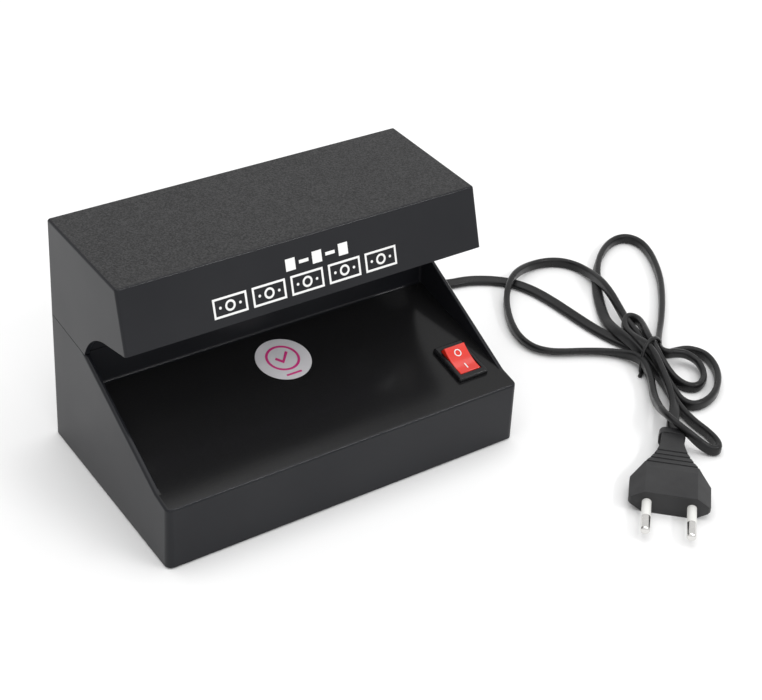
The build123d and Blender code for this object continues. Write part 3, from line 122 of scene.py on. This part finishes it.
BOTTOM = [
    (167, -42, 5.6, EDGE), (164.2, -48, 5.4, EDGE), (160.5, -54.5, 5.0, EDGE), (156.2, -60.2, 4.8, EDGE),
    (152, -66.6, 5.4, EDGE), (148.2, -73, 7.4, 75), (144.6, -79.4, 10.2, 55), (142.8, -86, 11.6, 45),
    (143.6, -92.6, 10.6, 50), (146, -97, 7.8, 65), (149, -100.8, 4.4, 80), (151.6, -104.2, 2.8, EDGE),
    (154.6, -105.6, 2.7, EDGE), (157.6, -102, 2.7, EDGE), (158.9, -94.5, 2.7, EDGE),
    (158.6, -86, 2.7, EDGE), (159.6, -78, 2.7, EDGE), (161.8, -70, 2.7, EDGE), (165.2, -61.5, 2.7, EDGE),
    (168.6, -52.5, 2.7, EDGE), (170.8, -44, 3.2, EDGE), (171.8, -36.5, 4.4, EDGE),
]
UPPER = [
    (172.3, -29, 5.6, EDGE), (172.3, -20.5, 5.8, 75), (174, -11, 4.2, 40), (177.8, -2, 2.2, 15),
    (182.8, 7, 1.8, 10), (188.6, 16.2, 1.8, 10), (195.6, 26, 2.0, 35), (203.4, 35.6, 2.5, 70),
    (212.6, 43.8, 2.7, EDGE), (222.6, 50.2, 2.7, EDGE), (231.4, 52.8, 2.7, EDGE), (237.6, 50.8, 2.7, EDGE),
    (240.2, 43.8, 2.7, EDGE), (237.4, 33.3, 2.7, EDGE), (231.6, 22, 2.7, EDGE), (225, 11.5, 2.7, EDGE),
    (217, 1.3, 2.7, EDGE), (208.5, -8.3, 2.7, EDGE), (199.7, -17.4, 2.7, EDGE), (191, -25.6, 3.4, EDGE),
    (184.3, -32.2, 5.0, EDGE), (179.6, -38, 5.8, EDGE),
]
INNER_RIGHT = [
    (179.5, -42.8, 6.6, EDGE), (184.6, -44.4, 6.4, 70), (189.4, -46.8, 5.4, 60), (191.4, -52.8, 4.0, 60),
    (189, -59.2, 3.0, 70), (184.2, -64, 2.7, EDGE), (178.6, -66.4, 2.7, EDGE),
    (174.2, -64, 2.7, EDGE), (172.9, -57.5, 3.0, EDGE), (173.8, -49.5, 4.6, EDGE), (175.3, -42, 7.4, EDGE),
    (177, -34.5, 9.0, EDGE),
]
ARCH = [
    (180.4, -27.6, 8.6, EDGE), (184.6, -20.4, 7.2, EDGE), (187.4, -13.8, 6.2, EDGE), (185.4, -9.3, 5.8, EDGE),
    (181.2, -11.2, 5.4, EDGE), (177.8, -16.4, 5.2, EDGE), (175.4, -23, 6.2, EDGE), (174, -29.5, 8.0, EDGE),
]
# Out of the knot and into the plug's collar
TAIL = [
    (173, -36, 9.6, EDGE), (171.6, -42.6, 9.4, EDGE), (168.5, -50.6, 8.6, EDGE), (165.3, -58, 7.4, EDGE),
    (161.9, -65.5, 6.2, 75), (158.4, -72.2, 5.4, 50), (153.8, -77.6, 5.3, 20), (148.8, -81.8, 5.25, FLAT),
    (145, -85.7, 5.25, FLAT), (141.5, -89.4, 5.25, FLAT),
]
ROUTE = LEAD + OUTER_RIGHT + LEFT + BOTTOM + UPPER + INNER_RIGHT + ARCH + TAIL


def nurbs_points(points):
    """Points read from the smooth NURBS line through a route."""
    data = bpy.data.curves.new("route", "CURVE")
    data.dimensions = "3D"
    spline = data.splines.new("NURBS")
    spline.points.add(len(points) - 1)
    for target, point in zip(spline.points, points):
        target.co = (*point, 1.0)
    spline.order_u = ROUTE_ORDER
    spline.use_endpoint_u = True
    spline.resolution_u = ROUTE_STEPS
    obj = bpy.data.objects.new("route", data)
    bpy.context.scene.collection.objects.link(obj)
    mesh = bpy.data.meshes.new_from_object(obj)
    line = [v.co.copy() for v in mesh.vertices]
    bpy.data.meshes.remove(mesh)
    bpy.data.objects.remove(obj)
    bpy.data.curves.remove(data)
    return line


def cord_section():
    """The flat twin section in metres: two half rounds, one at each side, joined by flat faces."""
    ring = []
    core = CORD_THICK / 2
    offset = CORD_WIDTH / 2 - core
    for i in range(SECTION_POINTS):
        angle = 2 * math.pi * (i + 0.5) / SECTION_POINTS
        wide = math.copysign(offset, math.cos(angle)) + core * math.cos(angle)
        thin = core * math.sin(angle)
        ring.append((wide * MM, thin * MM))
    return ring


def sweep_section(name, line, turns, section):
    """A closed mesh tube along a line, its section turned about the line by these angles in degrees."""
    bm = bmesh.new()
    rings = []
    for i, point in enumerate(line):
        ahead = line[min(i + 1, len(line) - 1)] - line[max(i - 1, 0)]
        tangent = ahead.normalized()
        side = tangent.cross(Vector((0, 0, 1))).normalized()
        up = side.cross(tangent)
        turn = math.radians(turns[i])
        wide = side * math.cos(turn) + up * math.sin(turn)
        thin = up * math.cos(turn) - side * math.sin(turn)
        rings.append([bm.verts.new(point + wide * a + thin * b) for a, b in section])
    count = len(section)
    for first, second in zip(rings, rings[1:]):
        for j in range(count):
            bm.faces.new((first[j], first[(j + 1) % count], second[(j + 1) % count], second[j]))
    bm.faces.new(list(reversed(rings[0])))
    bm.faces.new(rings[-1])
    bmesh.ops.recalc_face_normals(bm, faces=bm.faces)
    return mesh_object(name, bm)


def mesh_object(name, bm, smooth=True):
    """Turns a finished bmesh into an object of the scene."""
    data = bpy.data.meshes.new(name)
    bm.to_mesh(data)
    bm.free()
    obj = bpy.data.objects.new(name, data)
    bpy.context.scene.collection.objects.link(obj)
    for face in data.polygons:
        face.use_smooth = smooth
    return obj


cord_line = nurbs_points([(x * MM, y * MM, z * MM) for x, y, z, _ in ROUTE])
cord_turns = [v.x for v in nurbs_points([(turn, 0, 0) for _, _, _, turn in ROUTE])]
mains_cord = sweep_section("mains_cord", cord_line, cord_turns, cord_section())


# ================================================================ materials
MIDDLE = (0.3, 0.7)             # the part of a noise's range that holds most of its values
CONTRAST = (0.40, 0.66)         # a narrower part, which turns a fine noise into the painted highlight specks on the top's grain
LOOKS_UP = (0.90, 0.97)         # vertical part of the normal, where a wall's colour and roughness give way to the top's roughness and its painted highlight specks
ROUNDED_FROM = (0.36, 0.55)     # the same for where a rounded edge's finish begins
ROUNDED_TO = (0.90, 0.96)       # and where it ends
EDGE_ROUGH = 0.12
WALL_ROUGH = (0.30, 0.38)
WALL_DARK = (0.0095, 0.0100, 0.0125)
WALL_PALE = (0.0145, 0.0150, 0.0175)
GRAIN_DARK = (0.010, 0.010, 0.0105)
GRAIN_SCALE = 1500.0
HOUSING_SPECULAR = 0.22
HOUSING_EDGE = 0.0003
METAL_EDGE = 0.00015
BEVEL_SAMPLES = 4
GLASS_COAT = 0.5


def new_material(name):
    material = bpy.data.materials.new(name)
    material.use_nodes = True
    nodes = material.node_tree.nodes
    shader = nodes["Principled BSDF"]
    return material, nodes, material.node_tree.links, shader


def coords(nodes):
    return nodes.new("ShaderNodeTexCoord").outputs["Object"]


def noise(nodes, links, scale, detail=4.0, rough=0.5, vector=None):
    """Cloudy noise in the object's own space; scale counts its waves per metre."""
    node = nodes.new("ShaderNodeTexNoise")
    node.inputs["Scale"].default_value = scale
    node.inputs["Detail"].default_value = detail
    node.inputs["Roughness"].default_value = rough
    links.new(vector or coords(nodes), node.inputs["Vector"])
    return node.outputs["Fac"]


def ramp(nodes, links, value, low, high, start, end):
    """Maps a value between start and end onto low to high."""
    node = nodes.new("ShaderNodeMapRange")
    node.inputs["From Min"].default_value = start
    node.inputs["From Max"].default_value = end
    node.inputs["To Min"].default_value = low
    node.inputs["To Max"].default_value = high
    links.new(value, node.inputs["Value"])
    return node.outputs["Result"]


def mix_colors(nodes, links, factor, first, second):
    """A color between two fixed ones."""
    node = nodes.new("ShaderNodeMix")
    node.data_type = "RGBA"
    node.inputs["A"].default_value = (*first, 1)
    node.inputs["B"].default_value = (*second, 1)
    links.new(factor, node.inputs["Factor"])
    return node.outputs["Result"]


def add_bump(nodes, links, shader, height, strength, distance, normal=None):
    """Relief of a given depth in metres, on top of another normal where there is one."""
    node = nodes.new("ShaderNodeBump")
    node.inputs["Strength"].default_value = strength
    node.inputs["Distance"].default_value = distance
    if normal is not None:
        links.new(normal, node.inputs["Normal"])
    links.new(height, node.inputs["Height"])
    links.new(node.outputs["Normal"], shader.inputs["Normal"])


def edge_round(nodes, radius):
    """A normal that is softened along sharp edges."""
    node = nodes.new("ShaderNodeBevel")
    node.samples = BEVEL_SAMPLES
    node.inputs["Radius"].default_value = radius
    return node.outputs["Normal"]


def multiply(nodes, links, first, second):
    node = nodes.new("ShaderNodeMath")
    node.operation = "MULTIPLY"
    links.new(first, node.inputs[0])
    links.new(second, node.inputs[1])
    return node.outputs["Value"]


def normal_height(nodes, links):
    """The vertical part of a face's normal: 1 on a face that looks straight up, 0 on a wall."""
    geometry = nodes.new("ShaderNodeNewGeometry")
    split = nodes.new("ShaderNodeSeparateXYZ")
    links.new(geometry.outputs["True Normal"], split.inputs[0])
    return split.outputs["Z"]


def housing_material(name, upper_rough, painted_highlight_speck, grain_depth):
    """Black moulded plastic: satin walls, shiny rounded edges, and on faces that look up their own roughness
    and grain, lightened by painted highlight specks.
    """
    material, nodes, links, shader = new_material(name)
    upward = ramp(nodes, links, normal_height(nodes, links), 0, 1, *LOOKS_UP)
    grain = noise(nodes, links, GRAIN_SCALE, 2.0, 0.7)
    broad = noise(nodes, links, 18.0, 3.0)
    wall = mix_colors(nodes, links, ramp(nodes, links, broad, 0, 1, *MIDDLE), WALL_DARK, WALL_PALE)
    # painted highlight: light specks on the grain of faces that look up stand in for light catching the grain
    painted_grain_highlights = mix_colors(nodes, links, ramp(nodes, links, grain, 0, 1, *CONTRAST), GRAIN_DARK, painted_highlight_speck)
    # walls keep their own colour, and faces that look up take the painted highlight specks
    wall_and_painted_top_color = nodes.new("ShaderNodeMix")
    wall_and_painted_top_color.data_type = "RGBA"
    links.new(upward, wall_and_painted_top_color.inputs["Factor"])
    links.new(wall, wall_and_painted_top_color.inputs["A"])
    links.new(painted_grain_highlights, wall_and_painted_top_color.inputs["B"])
    links.new(wall_and_painted_top_color.outputs["Result"], shader.inputs["Base Color"])
    rough = nodes.new("ShaderNodeMix")
    links.new(upward, rough.inputs["Factor"])
    links.new(ramp(nodes, links, broad, *WALL_ROUGH, *MIDDLE), rough.inputs["A"])
    links.new(ramp(nodes, links, broad, upper_rough, upper_rough + 0.05, *MIDDLE), rough.inputs["B"])
    rounded = multiply(nodes, links, ramp(nodes, links, normal_height(nodes, links), 0, 1, *ROUNDED_FROM),
                       ramp(nodes, links, normal_height(nodes, links), 1, 0, *ROUNDED_TO))
    polished = nodes.new("ShaderNodeMix")
    links.new(rounded, polished.inputs["Factor"])
    links.new(rough.outputs["Result"], polished.inputs["A"])
    polished.inputs["B"].default_value = EDGE_ROUGH
    links.new(polished.outputs["Result"], shader.inputs["Roughness"])
    shader.inputs["Specular IOR Level"].default_value = HOUSING_SPECULAR
    height = multiply(nodes, links, grain, ramp(nodes, links, upward, 0.12, 1.0, 0, 1))
    add_bump(nodes, links, shader, height, 1.0, grain_depth, edge_round(nodes, HOUSING_EDGE))
    return material


def plastic(name, low, high, rough=0.45, grain=GRAIN_SCALE, depth=0.00002, coat=0.0, bevel=0.0002, spec=0.5):
    """Moulded plastic or rubber between two colors, with a fine grain of a given depth in metres."""
    material, nodes, links, shader = new_material(name)
    broad = noise(nodes, links, 60.0, 4.0)
    links.new(mix_colors(nodes, links, ramp(nodes, links, broad, 0, 1, *MIDDLE), low, high),
              shader.inputs["Base Color"])
    links.new(ramp(nodes, links, noise(nodes, links, 220.0), rough - 0.06, rough + 0.08, *MIDDLE),
              shader.inputs["Roughness"])
    shader.inputs["Coat Weight"].default_value = coat
    shader.inputs["Specular IOR Level"].default_value = spec
    add_bump(nodes, links, shader, noise(nodes, links, grain, 2.0), 1.0, depth, edge_round(nodes, bevel))
    return material


def metal(name, color, rough=0.3, stretch=(1, 1, 1), scale=900.0, depth=0.00001):
    """Drawn or rolled metal; stretch below 1 draws its lines out along that axis."""
    material, nodes, links, shader = new_material(name)
    mapping = nodes.new("ShaderNodeMapping")
    mapping.inputs["Scale"].default_value = stretch
    links.new(coords(nodes), mapping.inputs["Vector"])
    lines = noise(nodes, links, scale, 3.0, 0.6, mapping.outputs["Vector"])
    shader.inputs["Metallic"].default_value = 1.0
    dark = tuple(c * 0.82 for c in color)
    links.new(mix_colors(nodes, links, lines, dark, color), shader.inputs["Base Color"])
    links.new(ramp(nodes, links, lines, rough - 0.08, rough + 0.1, *MIDDLE), shader.inputs["Roughness"])
    add_bump(nodes, links, shader, lines, 0.6, depth, edge_round(nodes, METAL_EDGE))
    return material


def glass_material(name, color, rough, through=0.0):
    """Glass with faint smears; through is how much of the light passes it."""
    material, nodes, links, shader = new_material(name)
    smear = noise(nodes, links, 45.0, 3.0)
    dark = tuple(c * 0.6 for c in color)
    links.new(mix_colors(nodes, links, smear, dark, color), shader.inputs["Base Color"])
    links.new(ramp(nodes, links, smear, rough, rough + 0.12, 0.35, 0.75), shader.inputs["Roughness"])
    shader.inputs["Transmission Weight"].default_value = through
    shader.inputs["Coat Weight"].default_value = GLASS_COAT
    add_bump(nodes, links, shader, noise(nodes, links, 120.0), 0.2, 0.00001)
    return material


# the third value is the colour of the painted highlight specks on faces that look up
HOOD = housing_material("hood_black", 0.46, (0.046, 0.046, 0.047), 0.00014)
BASE = housing_material("base_black", 0.13, (0.012, 0.012, 0.0125), 0.000006)
PLATE = plastic("plate_black", (0.012, 0.012, 0.013), (0.02, 0.02, 0.021), 0.55, 1400.0, 0.00004)
RUBBER = plastic("foot_rubber", (0.014, 0.014, 0.014), (0.026, 0.026, 0.026), 0.75, 2200.0, 0.00004)
CORD = plastic("cord_black", (0.007, 0.007, 0.0075), (0.012, 0.012, 0.0125), 0.30, 1800.0, 0.00001,
               spec=0.28)
PLUG = plastic("plug_black", (0.012, 0.012, 0.013), (0.022, 0.022, 0.023), 0.44, 2400.0, 0.00003,
               bevel=0.0004, spec=0.40)
SWITCH = plastic("switch_black", (0.006, 0.006, 0.0065), (0.010, 0.010, 0.011), 0.20, 2600.0, 0.000005,
                 spec=0.28)
ROCKER = plastic("rocker_red", (0.62, 0.016, 0.008), (0.80, 0.03, 0.012), 0.20, 900.0, 0.000006, coat=0.4)
WHITE = plastic("white_plastic", (0.72, 0.72, 0.69), (0.82, 0.82, 0.80), 0.42)
BOARD = plastic("board_green", (0.02, 0.14, 0.05), (0.03, 0.2, 0.08), 0.35, 700.0, 0.00002)
FERRITE = plastic("ferrite", (0.03, 0.03, 0.033), (0.06, 0.06, 0.062), 0.6, 1600.0, 0.00004)
TAPE = plastic("winding_tape", (0.62, 0.42, 0.05), (0.75, 0.55, 0.1), 0.35, 400.0, 0.00004)
SLEEVE = plastic("can_sleeve", (0.015, 0.02, 0.08), (0.03, 0.04, 0.14), 0.25)
FILM = plastic("film_red", (0.32, 0.05, 0.03), (0.45, 0.09, 0.05), 0.22)
CHIP = plastic("chip_black", (0.02, 0.02, 0.02), (0.035, 0.035, 0.035), 0.6)
BROWN = plastic("wire_brown", (0.10, 0.035, 0.012), (0.16, 0.06, 0.02), 0.35)
BLUE = plastic("wire_blue", (0.01, 0.05, 0.3), (0.02, 0.09, 0.42), 0.35)
LEADS = plastic("wire_white", (0.65, 0.65, 0.62), (0.8, 0.8, 0.78), 0.35)
STEEL = metal("screw_steel", (0.62, 0.62, 0.63), 0.32)
BRASS = metal("contact_brass", (0.80, 0.60, 0.28), 0.3)
NICKEL = metal("pin_nickel", (0.78, 0.77, 0.75), 0.16, scale=500.0)
ALUMINIUM = metal("reflector_aluminium", (0.86, 0.87, 0.88), 0.18, (0.05, 1, 1))
CAP = metal("cap_aluminium", (0.80, 0.81, 0.82), 0.28, (0.2, 1, 1))
LAMP_GLASS = glass_material("lamp_glass", (0.030, 0.012, 0.075), 0.06)
FUSE_GLASS = glass_material("fuse_glass", (0.8, 0.85, 0.85), 0.05, 0.6)
STICKER = plastic("sticker_paper", (0.66, 0.65, 0.68), (0.80, 0.79, 0.81), 0.34, 700.0, 0.000008, coat=0.3)
PRINT = plastic("print_white", (0.80, 0.80, 0.79), (0.88, 0.88, 0.87), 0.45, 3000.0, 0.00001)
PINK = plastic("print_magenta", (0.62, 0.02, 0.20), (0.74, 0.05, 0.28), 0.4, 3000.0, 0.00001)

# The material of each CAD node that stays visible
FINISH = {
    "top_housing": HOOD, "base_housing": BASE, "bottom_plate": PLATE, "rubber_feet": RUBBER,
    "plate_screws": STEEL, "hood_screws": STEEL, "board_screws": STEEL, "lamp_screws": STEEL,
    "uv_tube_glass": LAMP_GLASS, "uv_tube_caps": CAP, "uv_tube_pins": BRASS, "lampholder_left": WHITE,
    "lampholder_right": WHITE, "lampholder_rotors": WHITE, "lampholder_contacts": BRASS,
    "reflector": ALUMINIUM, "switch_housing": SWITCH, "switch_rocker": ROCKER, "rocker_plunger": WHITE,
    "plunger_spring": STEEL, "switch_blade": BRASS, "switch_terminals": BRASS, "circuit_board": BOARD,
    "choke_core": FERRITE, "choke_winding": TAPE, "smoothing_capacitor": SLEEVE, "film_capacitors": FILM,
    "power_transistors": CHIP, "board_fuse": FUSE_GLASS, "terminal_block": WHITE, "mains_leads": BROWN,
    "switch_leads": BLUE, "lamp_leads": LEADS, "deck_sticker": STICKER, "cord_strain_relief": CORD,
    "plug_body": PLUG, "plug_pins": NICKEL, "plug_sleeves": WHITE,
}


def dress(piece, material, body):
    """Gives a new piece its material and the body that it rides on."""
    piece.data.materials.append(material)
    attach(piece, body)


for node, material in FINISH.items():
    target = frame["nodes"][node]
    if target.material_slots:
        for slot in target.material_slots:
            slot.material = material
    else:
        target.data.materials.append(material)

# ================================================================ cord pieces
dress(mains_cord, CORD, "housing")
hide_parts("cord_lead", "cord_hank", "cord_tail")

TIE_RADIUS = 0.9
TIE_POINTS = 12
# once round the knot, with both ends under it; x, y, z in millimetres
TIE_LOOP = [
    (165.2, -42.4, 1.0), (166, -41, 5.5), (169, -38.6, 10), (173.5, -36.6, 12.8), (178.5, -35.6, 12),
    (182.2, -35, 8.5), (183.4, -35, 4), (182, -36, 0.9), (174, -39, 0.8), (167, -42, 0.8),
    (164.4, -43.6, 0.9), (162.8, -44.6, 0.9),
]


def circle(x, y, radius, count):
    """Points round a circle."""
    return [(x + radius * math.cos(2 * math.pi * i / count), y + radius * math.sin(2 * math.pi * i / count))
            for i in range(count)]


tie_line = nurbs_points([(x * MM, y * MM, z * MM) for x, y, z in TIE_LOOP])
tie = sweep_section("wire_tie", tie_line, [FLAT] * len(tie_line), circle(0, 0, TIE_RADIUS * MM, TIE_POINTS))
dress(tie, CORD, "housing")
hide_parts("cord_tie")


# ================================================================ printed marks
INK = 0.04      # thickness of a printed mark


def printed(name, outlines, below, above):
    """Thin raised print from outlines of (x, y), which two functions place at its foot and at its top."""
    bm = bmesh.new()
    for outline in outlines:
        low = [bm.verts.new(below(x, y)) for x, y in outline]
        high = [bm.verts.new(above(x, y)) for x, y in outline]
        bm.faces.new(high)
        bm.faces.new(list(reversed(low)))
        count = len(outline)
        for i in range(count):
            bm.faces.new((low[i], low[(i + 1) % count], high[(i + 1) % count], high[i]))
    bmesh.ops.recalc_face_normals(bm, faces=bm.faces)
    return mesh_object(name, bm, smooth=False)


def flat_shape(name, outlines, place):
    """Print on a plane, from outlines in millimetres."""
    return printed(name, outlines, lambda x, y: place @ Vector((x * MM, y * MM, 0)),
                   lambda x, y: place @ Vector((x * MM, y * MM, INK * MM)))


def ring_pieces(x, y, outer, inner, steps=36):
    """A ring, as quads."""
    pieces = []
    for i in range(steps):
        a = math.radians(360 * i / steps)
        b = math.radians(360 * (i + 1) / steps)
        pieces.append([(x + outer * math.cos(a), y + outer * math.sin(a)),
                       (x + outer * math.cos(b), y + outer * math.sin(b)),
                       (x + inner * math.cos(b), y + inner * math.sin(b)),
                       (x + inner * math.cos(a), y + inner * math.sin(a))])
    return pieces


def bar(x0, y0, x1, y1):
    return [(x0, y0), (x1, y0), (x1, y1), (x0, y1)]


def frame_bars(x0, y0, x1, y1, line):
    """A rectangle's outline as four bars."""
    return [bar(x0, y0, x1, y0 + line), bar(x0, y1 - line, x1, y1), bar(x0, y0 + line, x0 + line, y1 - line),
            bar(x1 - line, y0 + line, x1, y1 - line)]


def plane_place(origin, x_dir, y_dir):
    """The placing of a plane: its origin in millimetres, its x direction and roughly its y direction."""
    x_axis = Vector(x_dir).normalized()
    z_axis = x_axis.cross(Vector(y_dir)).normalized()
    y_axis = z_axis.cross(x_axis)
    turn = Matrix((x_axis, y_axis, z_axis)).transposed().to_4x4()
    return Matrix.Translation(Vector(origin) * MM) @ turn


# A row of plain banknotes on the hood's leaning front, and a line of tall and low bars above it
HOOD_LEAN = (7.8, 25.6)         # the front's run to the rear and its rise
PRINT_GAP = 0.03
HOOD_FRONT = (0, -17.6 - PRINT_GAP, 81.74)
NOTES, NOTE_X, NOTE_PITCH, NOTE_Y = 5, -44, 17.4, 2.2
NOTE_WIDTH, NOTE_HEIGHT, NOTE_LINE = 15.0, 8.2, 0.9
NOTE_RING, NOTE_RING_IN, NOTE_RING_STEPS = 2.3, 1.4, 20
NOTE_DOT, NOTE_DOT_IN, NOTE_DOT_STEPS = 0.6, 3.1, 12
BARS, BAR_X, BAR_PITCH, BAR_WIDTH = 5, -10.5, 6.1, 4.4
TALL_BAR = (12.6, 17.6)
LOW_BAR = (14.4, 15.8)

hood_marks = []
for i in range(NOTES):
    x0 = NOTE_X + i * NOTE_PITCH
    middle = NOTE_Y + NOTE_HEIGHT / 2
    hood_marks += frame_bars(x0, NOTE_Y, x0 + NOTE_WIDTH, NOTE_Y + NOTE_HEIGHT, NOTE_LINE)
    hood_marks += ring_pieces(x0 + NOTE_WIDTH / 2, middle, NOTE_RING, NOTE_RING_IN, NOTE_RING_STEPS)
    hood_marks.append(circle(x0 + NOTE_DOT_IN, middle, NOTE_DOT, NOTE_DOT_STEPS))
    hood_marks.append(circle(x0 + NOTE_WIDTH - NOTE_DOT_IN, middle, NOTE_DOT, NOTE_DOT_STEPS))
for i in range(BARS):
    x0 = BAR_X + i * BAR_PITCH
    low, high = LOW_BAR if i % 2 else TALL_BAR
    hood_marks.append(bar(x0, low, x0 + BAR_WIDTH, high))
hood_print = flat_shape("hood_print", hood_marks, plane_place(HOOD_FRONT, (1, 0, 0), (0, *HOOD_LEAN)))
dress(hood_print, PRINT, "housing")

# A tick in a ring on the sticker, and a short bar below it
DECK_SLOPE = math.radians(10.2)
STICKER_LIFT = 0.105            # from the middle of the sticker to just above its face
STICKER_RING, STICKER_RING_IN, STICKER_RING_Y = 7.4, 6.3, 0.6
TICK = [
    [(-3.6, 0.9), (-1.0, -2.4), (-0.7, -0.6), (-2.6, 1.9)],
    [(-1.0, -2.4), (3.8, 2.9), (2.9, 3.8), (-0.7, -0.6)],
]
STICKER_BAR = (-3.6, -9.6, 3.6, -8.6)

sticker_low, sticker_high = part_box("deck_sticker")
sticker_middle = (sticker_low + sticker_high) / 2 / MM
deck_up = (0, math.cos(DECK_SLOPE), math.sin(DECK_SLOPE))
deck_normal = Vector((0, -math.sin(DECK_SLOPE), math.cos(DECK_SLOPE)))
sticker_place = plane_place(sticker_middle + deck_normal * STICKER_LIFT, (1, 0, 0), deck_up)
sticker_marks = ring_pieces(0, STICKER_RING_Y, STICKER_RING, STICKER_RING_IN) + TICK + [bar(*STICKER_BAR)]
sticker_print = flat_shape("sticker_print", sticker_marks, sticker_place)
dress(sticker_print, PINK, "housing")

# ================================================================ marks on the rocker
ROCKER_R = 7.6
ROCKER_TOP = 3.4                # height of the top's two ends above the pivot
ROCKER_DISH = 1.1               # how far the top is hollow in the middle
ROCKER_TILT = math.radians(12)
MARK_BELOW, MARK_ABOVE = 0.005, 0.05
O_Y, O_RADIUS, O_RADIUS_IN = 3.4, 1.7, 1.2
I_MARK = (-0.3, -4.9, 0.3, -2.2)
pivot = Vector(next(j for j in frame["joints"] if j["name"] == "rocker_tilt")["pos_m"])


def dish_height(v):
    """Height of the rocker's dished top above its pivot."""
    half = math.sqrt(ROCKER_R ** 2 - ROCKER_TOP ** 2)
    radius = (half ** 2 + ROCKER_DISH ** 2) / (2 * ROCKER_DISH)
    return ROCKER_TOP - ROCKER_DISH + radius - math.sqrt(radius ** 2 - v ** 2)


def on_rocker(u, v, lift):
    """A point above the rocker's top, from its place across and along it in millimetres."""
    turn = DECK_SLOPE + ROCKER_TILT
    w = dish_height(v) + lift
    return pivot + Vector((u, v * math.cos(turn) - w * math.sin(turn),
                           v * math.sin(turn) + w * math.cos(turn))) * MM


rocker_marks = printed("rocker_marks", ring_pieces(0, O_Y, O_RADIUS, O_RADIUS_IN) + [bar(*I_MARK)],
                       lambda x, y: on_rocker(x, y, MARK_BELOW), lambda x, y: on_rocker(x, y, MARK_ABOVE))
dress(rocker_marks, PRINT, "rocker")


# ================================================================ studio
FLOOR_SIZE = 3.0
FLOOR_COLORS = ((0.90, 0.90, 0.90), (0.92, 0.92, 0.92))
WORLD_STRENGTH = 0.85
LIGHTS_AIM = (0, 0, 0.05)
# name, place, width and height, power in watts
LIGHTS = [
    ("key", (0.05, 0.1, 1.7), (1.8, 1.8), 12),
    ("front", (-0.4, -1.4, 1.1), (0.8, 0.6), 2),
    ("rim", (0.71, -0.98, 1.13), (0.60, 0.10), 4.0),
]


def floor():
    bm = bmesh.new()
    bmesh.ops.create_grid(bm, x_segments=1, y_segments=1, size=FLOOR_SIZE)
    obj = mesh_object("floor", bm, smooth=False)
    material, nodes, links, shader = new_material("floor_white")
    pale = noise(nodes, links, 3.0)
    links.new(mix_colors(nodes, links, pale, *FLOOR_COLORS), shader.inputs["Base Color"])
    shader.inputs["Roughness"].default_value = 0.9
    obj.data.materials.append(material)


def area_light(name, place, size, power):
    data = bpy.data.lights.new(name, "AREA")
    data.shape = "RECTANGLE"
    data.size, data.size_y = size
    data.energy = power
    obj = bpy.data.objects.new(name, data)
    bpy.context.scene.collection.objects.link(obj)
    obj.location = place
    obj.rotation_euler = (Vector(place) - Vector(LIGHTS_AIM)).to_track_quat("Z", "Y").to_euler()


floor()
world = bpy.data.worlds.new("studio")
world.use_nodes = True
world.node_tree.nodes["Background"].inputs["Color"].default_value = (1, 1, 1, 1)
world.node_tree.nodes["Background"].inputs["Strength"].default_value = WORLD_STRENGTH
bpy.context.scene.world = world
for light in LIGHTS:
    area_light(*light)
bpy.context.scene.view_settings.view_transform = "Standard"
